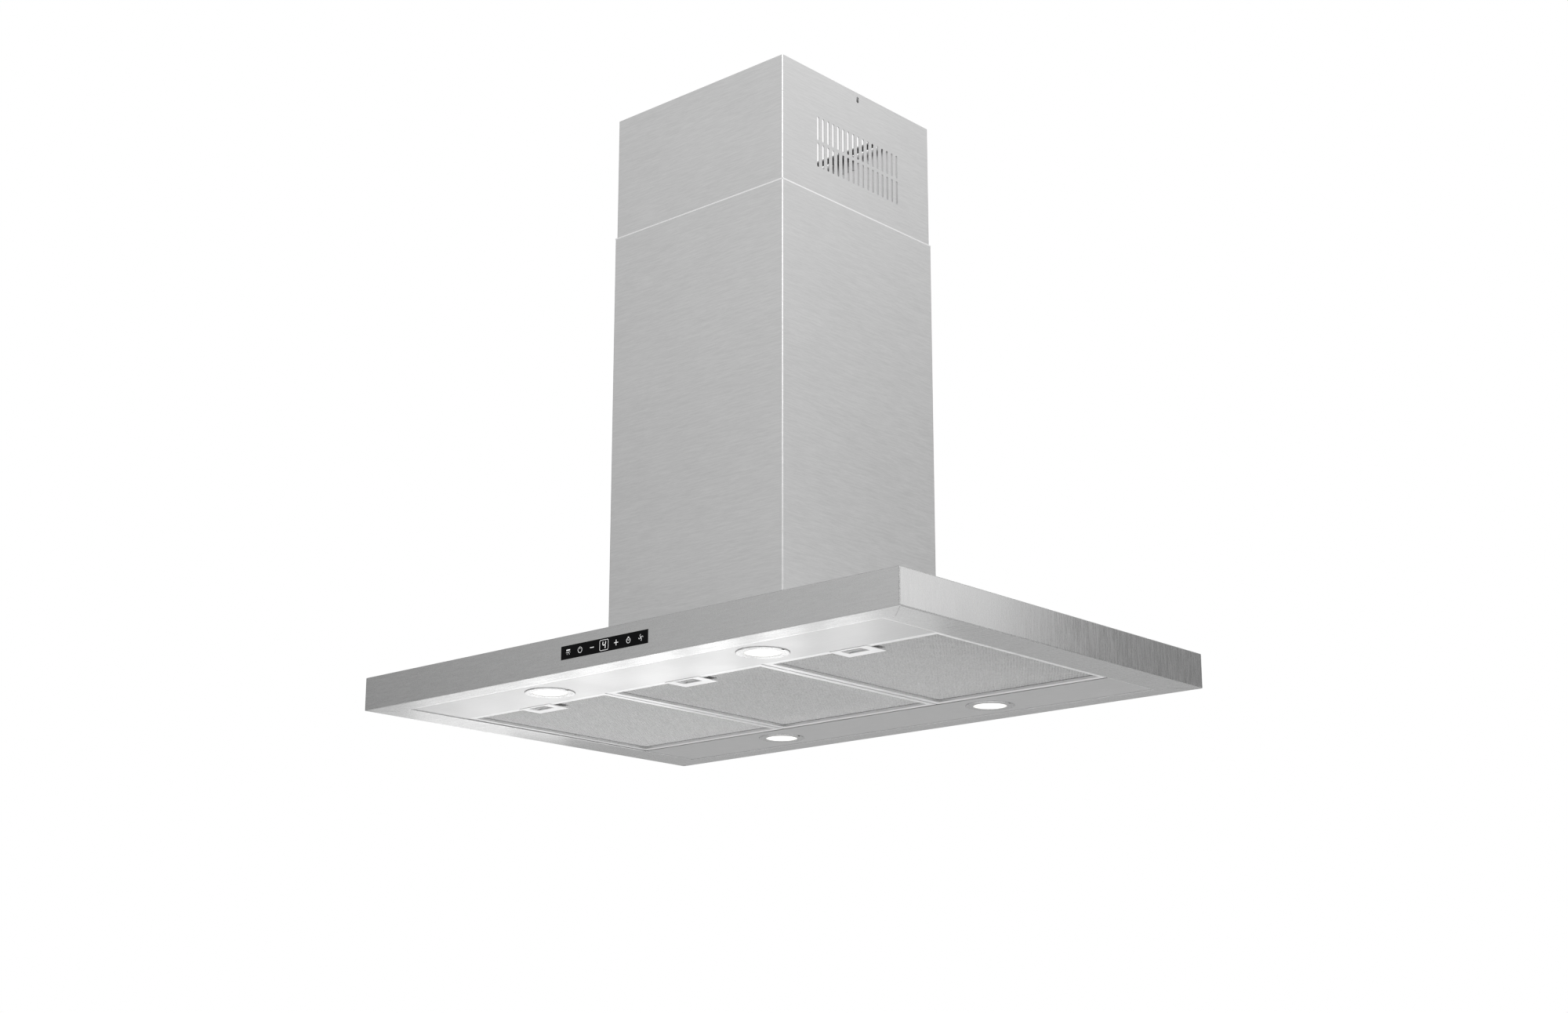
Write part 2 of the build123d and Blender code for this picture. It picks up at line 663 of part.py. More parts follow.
# ---------------------------------------------------------------- canopy
def canopy_shell():
    """Folded steel box, open below inside a mitred rim, with the blower window on top."""
    half_x = CANOPY_WIDTH / 2
    half_y = CANOPY_DEPTH / 2
    shape = block(-half_x, half_x, -half_y, half_y, CANOPY_BOTTOM, CANOPY_TOP)
    shape = fillet(shape.edges(), CANOPY_BEND)
    shape -= block(-half_x + CANOPY_SHEET, half_x - CANOPY_SHEET, -half_y + CANOPY_SHEET,
                   half_y - CANOPY_SHEET, RIM_TOP, CANOPY_TOP - CANOPY_SHEET)
    shape -= block(-OPENING_X, OPENING_X, -OPENING_Y, OPENING_Y, CANOPY_BOTTOM, RIM_TOP)
    shape -= block(-INLET_WINDOW_X / 2, INLET_WINDOW_X / 2, -INLET_WINDOW_Y / 2, INLET_WINDOW_Y / 2,
                   CANOPY_TOP - CANOPY_SHEET, CANOPY_TOP)
    window_x = GLASS_WIDTH / 2 + GLASS_GAP
    window_z = GLASS_HEIGHT / 2 + GLASS_GAP
    centre_z = CANOPY_BOTTOM + GLASS_CENTRE_UP
    shape -= block(-window_x, window_x, -half_y, -half_y + CANOPY_SHEET,
                   centre_z - window_z, centre_z + window_z)
    for sx, sy in CORNERS:
        shape -= rod_z(POST_BOLT_R, sx * POST_BOLT_XY, sy * POST_BOLT_XY,
                       CANOPY_TOP - CANOPY_SHEET, CANOPY_TOP)
        shape -= mitre_groove(sx, sy)
    for point, direction in box_flange_screw_places() + cover_foot_screw_places():
        shape -= hole(point, direction)
    for groove in seam_grooves():
        shape -= groove
    return shape


def mitre_groove(sx, sy):
    """The fine joint line from a rim corner in to the front or rear rim's inner edge."""
    length = FRONT_RIM * math.sqrt(2)
    middle_x = CANOPY_WIDTH / 2 - FRONT_RIM / 2
    middle_y = CANOPY_DEPTH / 2 - FRONT_RIM / 2
    line = Box(length, SEAM_WIDTH, SEAM_DEPTH * 2)
    return Pos(sx * middle_x, sy * middle_y, CANOPY_BOTTOM) * Rot(0, 0, 45 * sx * sy) * line


def seam_grooves():
    """Joint lines: upright beside each corner, and low along each side face."""
    grooves = []
    seam_x = CANOPY_WIDTH / 2 - CANOPY_BEND - SEAM_WIDTH
    half_y = CANOPY_DEPTH / 2
    low = CANOPY_BOTTOM + CANOPY_BEND
    high = CANOPY_TOP - CANOPY_BEND
    for sx, sy in CORNERS:
        grooves.append(block(sx * seam_x, sx * (seam_x + SEAM_WIDTH), sy * (half_y - SEAM_DEPTH),
                             sy * half_y, low, high))
    for sx in SIDES:
        half_x = CANOPY_WIDTH / 2
        grooves.append(block(sx * (half_x - SEAM_DEPTH), sx * half_x, -half_y + CANOPY_BEND,
                             half_y - CANOPY_BEND, low, low + SEAM_WIDTH))
    return grooves


def light_panel(sy):
    """A recessed strip across the canopy, lying on the rim, with two lamp holes."""
    lap_x = OPENING_X + PANEL_LAP
    outer = OPENING_Y + PANEL_LAP
    shape = block(-lap_x, lap_x, sy * outer, sy * FILTER_OPENING_DEPTH / 2, RIM_TOP, PANEL_TOP)
    for sx in SIDES:
        shape -= rod_z(BEZEL_NECK_R, sx * LAMP_X, sy * LAMP_Y, RIM_TOP, PANEL_TOP)
    return shape


def filter_side_rails():
    """Two angles beside the outer filters, between the light panels."""
    rails = []
    half_y = FILTER_OPENING_DEPTH / 2
    inner = OPENING_X + RAIL_SET_BACK
    for sx in SIDES:
        rail = block(sx * inner, sx * (inner + RAIL_LEG), -half_y, half_y, RIM_TOP, PANEL_TOP)
        rail += block(sx * inner, sx * (inner + PANEL_SHEET), -half_y, half_y, RIM_TOP, RIM_TOP + RAIL_HEIGHT)
        rails.append(rail)
    return group(rails)


def plenum_wall():
    """Upright sheet ring that keeps grease out of the lamp and wiring space."""
    x = OPENING_X + PLENUM_SIDE_GAP
    y = FILTER_OPENING_DEPTH / 2 + PLENUM_END_GAP
    top = CANOPY_TOP - CANOPY_SHEET
    shape = rect_ring(-x, x, -y, y, PANEL_TOP, top, PLENUM_SHEET)
    foot_x = x + PLENUM_FOOT
    foot_y = y + PLENUM_FOOT
    foot = block(-foot_x, foot_x, -foot_y, foot_y, PANEL_TOP, PANEL_TOP + PLENUM_SHEET)
    foot -= block(-x + PLENUM_SHEET, x - PLENUM_SHEET, -y + PLENUM_SHEET, y - PLENUM_SHEET,
                  PANEL_TOP, PANEL_TOP + PLENUM_SHEET)
    return shape + foot


# ---------------------------------------------------------------- filters
def latch_frame(centre):
    """Shared edges of one latch: front of the pocket, its back, and the block that holds it."""
    front = -FILTER_DEPTH / 2 + LATCH_WINDOW_SET
    back = front + LATCH_POCKET_DEPTH
    half = LATCH_WINDOW_WIDTH / 2 + LATCH_WALL
    body = block(centre - half, centre + half, front - LATCH_FRONT_WALL, back + LATCH_WALL,
                 FILTER_BOTTOM, CANOPY_BOTTOM + LATCH_POCKET_TOP + LATCH_WALL)
    return front, back, body


def bolt_levels():
    """Bottom and top of the slider and its bolt."""
    top = CANOPY_BOTTOM + LATCH_POCKET_TOP - SLIDER_CLEAR
    return top - SLIDER_THICK, top


def bolt_slot(centre):
    """The slot that the slider's bolt runs in."""
    low, high = bolt_levels()
    front = -FILTER_DEPTH / 2
    half = BOLT_WIDTH / 2 + SLIDER_CLEAR
    return block(centre - half, centre + half, front, front + LATCH_WINDOW_SET + LATCH_WALL,
                 low - SLIDER_CLEAR, high + SLIDER_CLEAR)


def filter_frame(centre):
    """Aluminium frame: flat face below, outer wall, top lip, and two rear tongues."""
    x0 = centre - FILTER_WIDTH / 2
    x1 = centre + FILTER_WIDTH / 2
    half_y = FILTER_DEPTH / 2
    shape = rect_ring(x0, x1, -half_y, half_y, FILTER_BOTTOM, MESH_BOTTOM, FILTER_FACE)
    shape += rect_ring(x0, x1, -half_y, half_y, MESH_BOTTOM, MESH_TOP, FILTER_WALL)
    shape += rect_ring(x0, x1, -half_y, half_y, MESH_TOP, FILTER_TOP, FILTER_TOP_LIP)
    low = PANEL_TOP + TONGUE_CLEAR
    for side in SIDES:
        middle = centre + side * TONGUE_SPACING / 2
        shape += block(middle - TONGUE_WIDTH / 2, middle + TONGUE_WIDTH / 2, half_y - FILTER_WALL,
                       half_y + TONGUE_REACH, low, low + TONGUE_THICK)
    return shape - latch_frame(centre)[2] - bolt_slot(centre)


def filter_mesh(centre):
    """The outer sheets of the mesh pack, with room for the latch; the layers between are mostly air."""
    half_x = FILTER_WIDTH / 2 - FILTER_WALL
    half_y = FILTER_DEPTH / 2 - FILTER_WALL
    sheets = []
    for low in (MESH_BOTTOM, MESH_TOP - MESH_SHEET):
        sheet = block(centre - half_x, centre + half_x, -half_y, half_y, low, low + MESH_SHEET)
        sheets.append(sheet - latch_frame(centre)[2] - bolt_slot(centre))
    return group(sheets)


def latch_housing(centre):
    """Latch plate with a finger pocket behind its window."""
    front, back, body = latch_frame(centre)
    half = LATCH_WINDOW_WIDTH / 2
    plate_front = -FILTER_DEPTH / 2
    plate = block(centre - LATCH_PLATE_WIDTH / 2, centre + LATCH_PLATE_WIDTH / 2, plate_front,
                  plate_front + LATCH_PLATE_DEPTH, FILTER_BOTTOM - LATCH_PLATE_THICK, FILTER_BOTTOM)
    plate = fillet(plate.edges().filter_by(Axis.Z), LATCH_PLATE_CORNER)
    shape = plate + body
    shape -= block(centre - half, centre + half, front, back, FILTER_BOTTOM, CANOPY_BOTTOM + LATCH_POCKET_TOP)
    shape -= block(centre - half, centre + half, front, front + LATCH_WINDOW_DEPTH,
                   FILTER_BOTTOM - LATCH_PLATE_THICK, FILTER_BOTTOM)
    return shape - bolt_slot(centre)


def latch_slider(centre):
    """Sliding bolt with the rib that a finger pulls back."""
    front, _, _ = latch_frame(centre)
    low, high = bolt_levels()
    start = front + SLIDER_CLEAR
    half = SLIDER_WIDTH / 2
    shape = block(centre - half, centre + half, start, start + SLIDER_DEPTH, low, high)
    shape += block(centre - BOLT_WIDTH / 2, centre + BOLT_WIDTH / 2, start,
                   -FILTER_DEPTH / 2 - BOLT_REACH, low, high)
    rib = front + GRIP_SET
    shape += block(centre - half, centre + half, rib, rib + GRIP_THICK, FILTER_BOTTOM - SLIDER_CLEAR, low)
    return shape


def latch_spring(centre):
    """Compression spring between the slider and the back of the pocket."""
    front, back, _ = latch_frame(centre)
    start = front + SLIDER_CLEAR + SLIDER_DEPTH + SPRING_WIRE_R
    length = back - SPRING_WIRE_R - start
    z = bolt_levels()[0] + SLIDER_THICK / 2 - SPRING_WIRE_R
    path = Helix(length / SPRING_TURNS, length, SPRING_R)
    profile = Plane(origin=path @ 0, z_dir=path % 0) * Circle(SPRING_WIRE_R)
    coil = sweep(profile, path)
    return Pos(centre, start, z) * Rot(-90, 0, 0) * coil


# ---------------------------------------------------------------- lamps
def lamp_places():
    return [(sx * LAMP_X, sy * LAMP_Y) for sx, sy in CORNERS]


def lamp_bezels():
    """Round trim rings with a neck through the panel and two small notches."""
    bezels = []
    for x, y in lamp_places():
        ring = rod_z(BEZEL_R, x, y, CANOPY_BOTTOM, RIM_TOP)
        ring = chamfer(ring.edges().group_by(Axis.Z)[0], BEZEL_CHAMFER)
        ring += rod_z(BEZEL_NECK_R, x, y, RIM_TOP, CANOPY_BOTTOM + BEZEL_NECK_TOP)
        ring -= rod_z(LENS_R, x, y, CANOPY_BOTTOM, CANOPY_BOTTOM + LENS_SET_UP + LENS_THICK)
        ring -= rod_z(BEZEL_NECK_R - BEZEL_NECK_WALL, x, y, CANOPY_BOTTOM + LENS_SET_UP + LENS_THICK,
                      CANOPY_BOTTOM + BEZEL_NECK_TOP)
        for side in SIDES:
            ring -= block(x + side * (BEZEL_R - NOTCH_DEPTH), x + side * BEZEL_R, y - NOTCH_WIDTH / 2,
                          y + NOTCH_WIDTH / 2, CANOPY_BOTTOM, CANOPY_BOTTOM + NOTCH_HEIGHT)
        bezels.append(ring)
    return group(bezels)


def lamp_lenses():
    low = CANOPY_BOTTOM + LENS_SET_UP
    return group(rod_z(LENS_R, x, y, low, low + LENS_THICK) for x, y in lamp_places())


def lamp_bodies():
    """LED bodies with cooling fins round the part above the neck."""
    bodies = []
    low = CANOPY_BOTTOM + LENS_SET_UP + LENS_THICK
    neck_top = CANOPY_BOTTOM + BEZEL_NECK_TOP
    radius = BEZEL_NECK_R - BEZEL_NECK_WALL
    pitch = (LAMP_BODY_TOP - BEZEL_NECK_TOP) / LAMP_FIN_COUNT
    for x, y in lamp_places():
        body = rod_z(radius, x, y, low, CANOPY_BOTTOM + LAMP_BODY_TOP)
        for step in range(LAMP_FIN_COUNT - 1):
            z = neck_top + pitch * (step + 0.5)
            groove = rod_z(radius, x, y, z, z + pitch / 2)
            body -= groove - rod_z(radius - LAMP_FIN_DEPTH, x, y, z, z + pitch / 2)
        bodies.append(body)
    return group(bodies)


def lamp_clips():
    """Bent spring strips that press the panel against the bezel."""
    clips = []
    foot = PANEL_TOP
    root_z = CANOPY_BOTTOM + BEZEL_NECK_TOP - CLIP_DROP
    for x, y in lamp_places():
        for side in SIDES:
            start = x + side * BEZEL_NECK_R
            knee = start + side * CLIP_REACH / 2
            end = start + side * CLIP_REACH
            knee_z = root_z + CLIP_RISE
            line = Polyline((start, root_z), (knee, knee_z), (end, foot), (end - side * CLIP_SHEET, foot),
                            (knee, knee_z - 2 * CLIP_SHEET), (start, root_z - 2 * CLIP_SHEET), close=True)
            side_plane = Plane(origin=(0, y + CLIP_WIDTH / 2, 0), x_dir=(1, 0, 0), z_dir=(0, -1, 0))
            face = side_plane * make_face(line)
            clips.append(extrude(face, CLIP_WIDTH))
    return group(clips)


# ---------------------------------------------------------------- touch panel
def control_glass():
    """Flush black glass with a wider step behind the sheet."""
    front = -CANOPY_DEPTH / 2
    back = front + CANOPY_SHEET
    z = CANOPY_BOTTOM + GLASS_CENTRE_UP
    half_x = GLASS_WIDTH / 2
    half_z = GLASS_HEIGHT / 2
    face = block(-half_x, half_x, front, back, z - half_z, z + half_z)
    face = chamfer(face.faces().sort_by(Axis.Y)[0].edges(), GLASS_GAP)
    step_x = half_x + GLASS_LIP
    step_z = half_z + GLASS_LIP
    return face + block(-step_x, step_x, back, back + GLASS_BACK_THICK, z - step_z, z + step_z)


def control_levels():
    """The control housing's half width, half height and centre height."""
    half_x = GLASS_WIDTH / 2 + GLASS_LIP + CONTROL_WALL
    half_z = GLASS_HEIGHT / 2 + GLASS_LIP + CONTROL_WALL
    return half_x, half_z, CANOPY_BOTTOM + GLASS_CENTRE_UP


def control_housing():
    """Plastic tray behind the glass, with four pegs that carry the board."""
    half_x, half_z, z = control_levels()
    front = -CANOPY_DEPTH / 2 + CANOPY_SHEET
    glass_back = front + GLASS_BACK_THICK
    back = glass_back + CONTROL_DEPTH
    in_x = half_x - CONTROL_WALL
    in_z = half_z - CONTROL_WALL
    shape = block(-half_x, half_x, front, back, z - half_z, z + half_z)
    shape -= block(-in_x, in_x, front, glass_back, z - in_z, z + in_z)
    room_x = in_x - CONTROL_LEDGE
    room_z = in_z - CONTROL_LEDGE
    shape -= block(-room_x, room_x, glass_back, back - CONTROL_WALL / 2, z - room_z, z + room_z)
    for sx in SIDES:
        for sz in SIDES:
            peg_x = sx * (in_x - CONTROL_PEG_IN_X)
            peg_z = z + sz * (in_z - CONTROL_PEG_IN_Z)
            shape += rod_y(PEG_R, peg_x, board_back(), back - CONTROL_WALL / 2, peg_z)
    return shape


def board_back():
    """Y of the back face of the control board."""
    return -CANOPY_DEPTH / 2 + CANOPY_SHEET + GLASS_BACK_THICK + BOARD_SET_BACK + BOARD_SHEET


def control_board():
    """Circuit board with seven touch pads and a display block."""
    half_x, half_z, z = control_levels()
    in_x = half_x - CONTROL_WALL - BOARD_EDGE_GAP
    in_z = half_z - CONTROL_WALL - BOARD_EDGE_GAP
    back = board_back()
    front = back - BOARD_SHEET
    shape = block(-in_x, in_x, front, back, z - in_z, z + in_z)
    for pad in range(TOUCH_PADS):
        x = (pad - (TOUCH_PADS - 1) / 2) * TOUCH_PITCH
        shape += rod_y(TOUCH_PAD_R, x, front - TOUCH_PAD_THICK, front, z)
    return shape + block(-DISPLAY_HALF_WIDTH, DISPLAY_HALF_WIDTH, front - BOARD_SET_BACK / 2, front,
                         z - DISPLAY_HALF_HEIGHT, z + DISPLAY_HALF_HEIGHT)


# ---------------------------------------------------------------- blower
def blower_box():
    """Sheet box over the canopy window: open below, outlet hole on top."""
    half_x = BOX_WIDTH / 2
    half_y = BOX_DEPTH / 2
    shape = block(-half_x, half_x, -half_y, half_y, CANOPY_TOP, BOX_TOP)
    shape -= block(-half_x + BOX_SHEET, half_x - BOX_SHEET, -half_y + BOX_SHEET, half_y - BOX_SHEET,
                   CANOPY_TOP, BOX_INNER_TOP)
    rim_x = half_x + BOX_FLANGE
    rim_y = half_y + BOX_FLANGE
    rim = block(-rim_x, rim_x, -rim_y, rim_y, CANOPY_TOP, CANOPY_TOP + BOX_SHEET)
    rim -= block(-half_x, half_x, -half_y, half_y, CANOPY_TOP, CANOPY_TOP + BOX_SHEET)
    shape += rim
    shape -= rod_z(OUTLET_R - OUTLET_WALL, 0, 0, BOX_INNER_TOP, BOX_TOP)
    shape -= rod_z(GLAND_THREAD_R, GLAND_X, GLAND_Y, BOX_INNER_TOP, BOX_TOP)
    for point, direction in box_flange_screw_places() + scroll_screw_places() + collar_screw_places():
        shape -= hole(point, direction)
    return shape


def scroll_outline(inset):
    """The scroll's side view in its Y-Z plane: a growing spiral that runs up into a flared outlet."""
    top = BOX_INNER_TOP - SCROLL_AXIS_Z
    start = math.radians(SCROLL_TONGUE_DEG)
    points = []
    for step in range(SCROLL_POINTS + 1):
        share = step / SCROLL_POINTS
        angle = start + share * (2 * math.pi - start)
        radius = SCROLL_START_R + SCROLL_WALL + SCROLL_GROWTH * share - inset
        points.append((radius * math.cos(angle), radius * math.sin(angle)))
    half = SCROLL_OUTLET_HALF + SCROLL_WALL - inset
    spiral = Spline(*points, tangents=[(-math.sin(start), math.cos(start)), (0, 1)])
    rise = Polyline(points[-1], (half - SCROLL_AXIS_Y, top), (-half - SCROLL_AXIS_Y, top), points[0])
    return make_face(Wire([*spiral.edges(), *rise.edges()]))


def scroll_half(side):
    """One moulded half of the scroll case, with its inlet hole and half of the top flange."""
    plane = Plane(origin=(0, SCROLL_AXIS_Y, SCROLL_AXIS_Z), x_dir=(0, 1, 0), z_dir=(1, 0, 0))
    shape = extrude(plane * scroll_outline(0), side * SCROLL_FACE_X)
    shape -= extrude(plane * scroll_outline(SCROLL_WALL), side * SCROLL_HALF_WIDTH)
    shape -= rod_x(INLET_R, 0, side * SCROLL_FACE_X, SCROLL_AXIS_Y, SCROLL_AXIS_Z)
    rim = SCROLL_OUTLET_HALF + SCROLL_WALL + SCROLL_FLANGE
    flange = block(0, side * (SCROLL_FACE_X + SCROLL_FLANGE), -rim, rim,
                   BOX_INNER_TOP - SCROLL_FLANGE_THICK, BOX_INNER_TOP)
    flange -= block(0, side * SCROLL_HALF_WIDTH, -SCROLL_OUTLET_HALF, SCROLL_OUTLET_HALF,
                    BOX_INNER_TOP - SCROLL_FLANGE_THICK, BOX_INNER_TOP)
    shape += flange
    for point, direction in scroll_screw_places() + motor_screw_places():
        shape -= hole(point, direction, depth=SCROLL_HOLE_DEPTH)
    return shape


def inlet_rings():
    """Bell-mouthed rings on both scroll inlets."""
    rings = []
    for side in SIDES:
        flange = rod_x(INLET_FLANGE_R, side * SCROLL_FACE_X, side * (SCROLL_FACE_X + INLET_THICK),
                       SCROLL_AXIS_Y, SCROLL_AXIS_Z)
        throat = rod_x(INLET_R, side * (SCROLL_FACE_X - INLET_THROAT), side * SCROLL_FACE_X,
                       SCROLL_AXIS_Y, SCROLL_AXIS_Z)
        bore = rod_x(INLET_R - INLET_THICK, side * (SCROLL_FACE_X - INLET_THROAT),
                     side * (SCROLL_FACE_X + INLET_THICK), SCROLL_AXIS_Y, SCROLL_AXIS_Z)
        ring = flange + throat - bore
        mouth = ring.edges().filter_by(GeomType.CIRCLE).sort_by(lambda edge: -side * edge.center().X)
        inner = [edge for edge in mouth if abs(edge.radius - (INLET_R - INLET_THICK)) < 0.01]
        rings.append(fillet(inner[0], INLET_MOUTH_R))
    return group(rings)


def impeller():
    """Double-inlet squirrel-cage wheel: swept blades, end rings, middle disc and hub."""
    plane = Plane(origin=(0, SCROLL_AXIS_Y, SCROLL_AXIS_Z), x_dir=(0, 1, 0), z_dir=(1, 0, 0))
    blades = Sketch()
    sweep_angle = math.radians(BLADE_SWEEP_DEG)
    middle_r = (BLADE_OUTER_R + BLADE_INNER_R) / 2
    inner = (BLADE_INNER_R, 0)
    middle = (middle_r * math.cos(sweep_angle / 2), middle_r * math.sin(sweep_angle / 2) * BLADE_MIDDLE_BOW)
    outer_r = BLADE_OUTER_R - IMPELLER_RING / 2
    outer = (outer_r * math.cos(sweep_angle / 2), outer_r * math.sin(sweep_angle / 2) * BLADE_OUTER_BOW)
    blade = Wire([ThreePointArc(inner, middle, outer)])
    strip = make_face(offset(blade, BLADE_THICK / 2, side=Side.BOTH))
    for index in range(BLADE_COUNT):
        blades += Rot(0, 0, index * 360 / BLADE_COUNT) * strip
    shape = extrude(plane * blades, IMPELLER_HALF_WIDTH, both=True)
    ring = Circle(BLADE_OUTER_R) - Circle(BLADE_INNER_R)
    for side in SIDES:
        start = plane.offset(side * (IMPELLER_HALF_WIDTH - IMPELLER_RING))
        shape += extrude(start * ring, side * IMPELLER_RING)
    shape += extrude(plane * Circle(BLADE_OUTER_R), IMPELLER_DISC / 2, both=True)
    shape += rod_x(HUB_R, -HUB_LENGTH / 2, HUB_LENGTH / 2, SCROLL_AXIS_Y, SCROLL_AXIS_Z)
    return shape - rod_x(SHAFT_R, -HUB_LENGTH, HUB_LENGTH, SCROLL_AXIS_Y, SCROLL_AXIS_Z)


def motor_shaft():
    end = SCROLL_FACE_X + BUSH_HEIGHT + ARM_SHEET + SHAFT_OUTER_END
    return rod_x(SHAFT_R, -HUB_LENGTH / 2 - SHAFT_INNER_END, end, SCROLL_AXIS_Y, SCROLL_AXIS_Z)


def motor():
    """Motor body with end bosses and cooling slots; the boss reaches the bracket."""
    end = MOTOR_START + MOTOR_LENGTH
    seat = SCROLL_FACE_X + BUSH_HEIGHT
    body = rod_x(MOTOR_R, MOTOR_START, end, SCROLL_AXIS_Y, SCROLL_AXIS_Z)
    rims = body.edges().filter_by(GeomType.CIRCLE)
    body = fillet(rims, MOTOR_EDGE)
    for index in range(MOTOR_SLOT_COUNT):
        slot = block(MOTOR_START + MOTOR_SLOT_MARGIN, end - MOTOR_SLOT_MARGIN, MOTOR_R - MOTOR_SLOT_DEPTH,
                     MOTOR_R + MOTOR_SLOT_DEPTH, -MOTOR_SLOT_HALF, MOTOR_SLOT_HALF)
        turn = index * 360 / MOTOR_SLOT_COUNT
        turned = Pos(0, SCROLL_AXIS_Y, SCROLL_AXIS_Z) * Rot(turn, 0, 0) * slot
        body -= turned
    body += rod_x(MOTOR_BOSS_R, end, seat, SCROLL_AXIS_Y, SCROLL_AXIS_Z)
    bore = SHAFT_R + SHAFT_RUNNING_GAP
    return body - rod_x(bore, 0, seat + ARM_SHEET, SCROLL_AXIS_Y, SCROLL_AXIS_Z)


def motor_bracket():
    """Three-armed spider that carries the motor in front of the inlet."""
    start = SCROLL_FACE_X + BUSH_HEIGHT
    shape = rod_x(MOTOR_BOSS_R + ARM_HUB_LAP, start, start + ARM_SHEET, SCROLL_AXIS_Y, SCROLL_AXIS_Z)
    for angle in MOTOR_FOOT_ANGLES:
        arm = block(start, start + ARM_SHEET, 0, ARM_REACH, -ARM_WIDTH / 2, ARM_WIDTH / 2)
        shape += Pos(0, SCROLL_AXIS_Y, SCROLL_AXIS_Z) * Rot(angle, 0, 0) * arm
    for y, z in motor_foot_places():
        shape += rod_x(ARM_WIDTH / 2, start, start + ARM_SHEET, y, z)
    for point, direction in motor_screw_places():
        shape -= hole(point, direction)
    bore = SHAFT_R + SHAFT_CLEAR
    return shape - rod_x(bore, start, start + ARM_SHEET, SCROLL_AXIS_Y, SCROLL_AXIS_Z)


def motor_bushes():
    """Rubber bushes between the bracket feet and the scroll."""
    start = SCROLL_FACE_X
    bushes = []
    for y, z in motor_foot_places():
        bush = rod_x(BUSH_R, start, start + BUSH_HEIGHT, y, z)
        bushes.append(bush - rod_x(SCREW_R, start, start + BUSH_HEIGHT, y, z))
    return group(bushes)


# ---------------------------------------------------------------- outlet and damper
def outlet_collar():
    """Round duct collar with a screwed flange and an inner ledge that stops the flaps."""
    inner = OUTLET_R - OUTLET_WALL
    shape = rod_z(OUTLET_R, 0, 0, BOX_TOP, OUTLET_TOP)
    shape += rod_z(OUTLET_FLANGE_R, 0, 0, BOX_TOP, BOX_TOP + OUTLET_FLANGE_THICK)
    shape -= rod_z(inner, 0, 0, BOX_TOP, OUTLET_TOP)
    ledge_top = DAMPER_Z - FLAP_THICK / 2 - STOP_CLEAR
    ledge = rod_z(inner, 0, 0, ledge_top - STOP_THICK, ledge_top)
    ledge -= rod_z(inner - STOP_RING, 0, 0, ledge_top - STOP_THICK, ledge_top)
    room = KNUCKLE_R + STOP_CLEAR
    ledge -= block(-OUTLET_R, OUTLET_R, -room, room, ledge_top - STOP_THICK, ledge_top)
    shape += ledge
    shape -= rod_x(DAMPER_PIN_R, -OUTLET_R, OUTLET_R, 0, DAMPER_Z)
    for point, direction in collar_screw_places():
        shape -= hole(point, direction)
    return shape


def damper_pin():
    return rod_x(DAMPER_PIN_R, -OUTLET_R, OUTLET_R, 0, DAMPER_Z)


def damper_flap(side):
    """Half disc that hangs on the middle pin by two knuckles."""
    radius = OUTLET_R - OUTLET_WALL - FLAP_EDGE_GAP
    start = KNUCKLE_R + FLAP_PIN_GAP
    low = DAMPER_Z - FLAP_THICK / 2
    high = DAMPER_Z + FLAP_THICK / 2
    disc = rod_z(radius, 0, 0, low, high)
    shape = disc & block(-radius, radius, side * start, side * radius, low, high)
    for place in knuckle_starts(side):
        end = place + KNUCKLE_LENGTH
        shape += block(place, end, 0, side * (start + KNUCKLE_LAP), low, high)
        shape += rod_x(KNUCKLE_R, place, end, 0, DAMPER_Z)
        shape -= rod_x(DAMPER_PIN_R + DAMPER_PIN_GAP, place, end, 0, DAMPER_Z)
    return shape


def knuckle_starts(side):
    """The two flaps' knuckles take turns along the pin."""
    pitch = KNUCKLE_LENGTH + KNUCKLE_GAP
    first = -2 * pitch + KNUCKLE_GAP / 2
    offset_x = 0 if side < 0 else pitch
    return [first + offset_x, first + offset_x + 2 * pitch]


# ---------------------------------------------------------------- electrics
def electrics_box():
    """Plastic tray on the blower box's side, with pegs for the board."""
    half = ELEC_WIDTH_Y / 2
    top = ELEC_BOTTOM + ELEC_HEIGHT
    open_x = ELEC_X + ELEC_DEPTH_X
    shape = block(ELEC_X, open_x, -half, half, ELEC_BOTTOM, top)
    shape -= block(ELEC_X + ELEC_WALL, open_x, -half + ELEC_WALL, half - ELEC_WALL,
                   ELEC_BOTTOM + ELEC_WALL, top - ELEC_WALL)
    floor = ELEC_X + ELEC_WALL
    board_low = ELEC_BOTTOM + ELEC_WALL + BOARD_MARGIN
    for sy in SIDES:
        for z in (board_low + POWER_PEG_IN_Z, board_low + POWER_BOARD_HEIGHT - POWER_PEG_IN_Z):
            shape += rod_x(PEG_R, floor, floor + POWER_BOARD_SET, sy * (half - POWER_PEG_IN_Y), z)
    return shape


def electrics_lid():
    half = ELEC_WIDTH_Y / 2
    x = ELEC_X + ELEC_DEPTH_X
    shape = block(x, x + ELEC_LID, -half, half, ELEC_BOTTOM, ELEC_BOTTOM + ELEC_HEIGHT)
    return fillet(shape.edges().filter_by(Axis.X), ELEC_LID_CORNER)


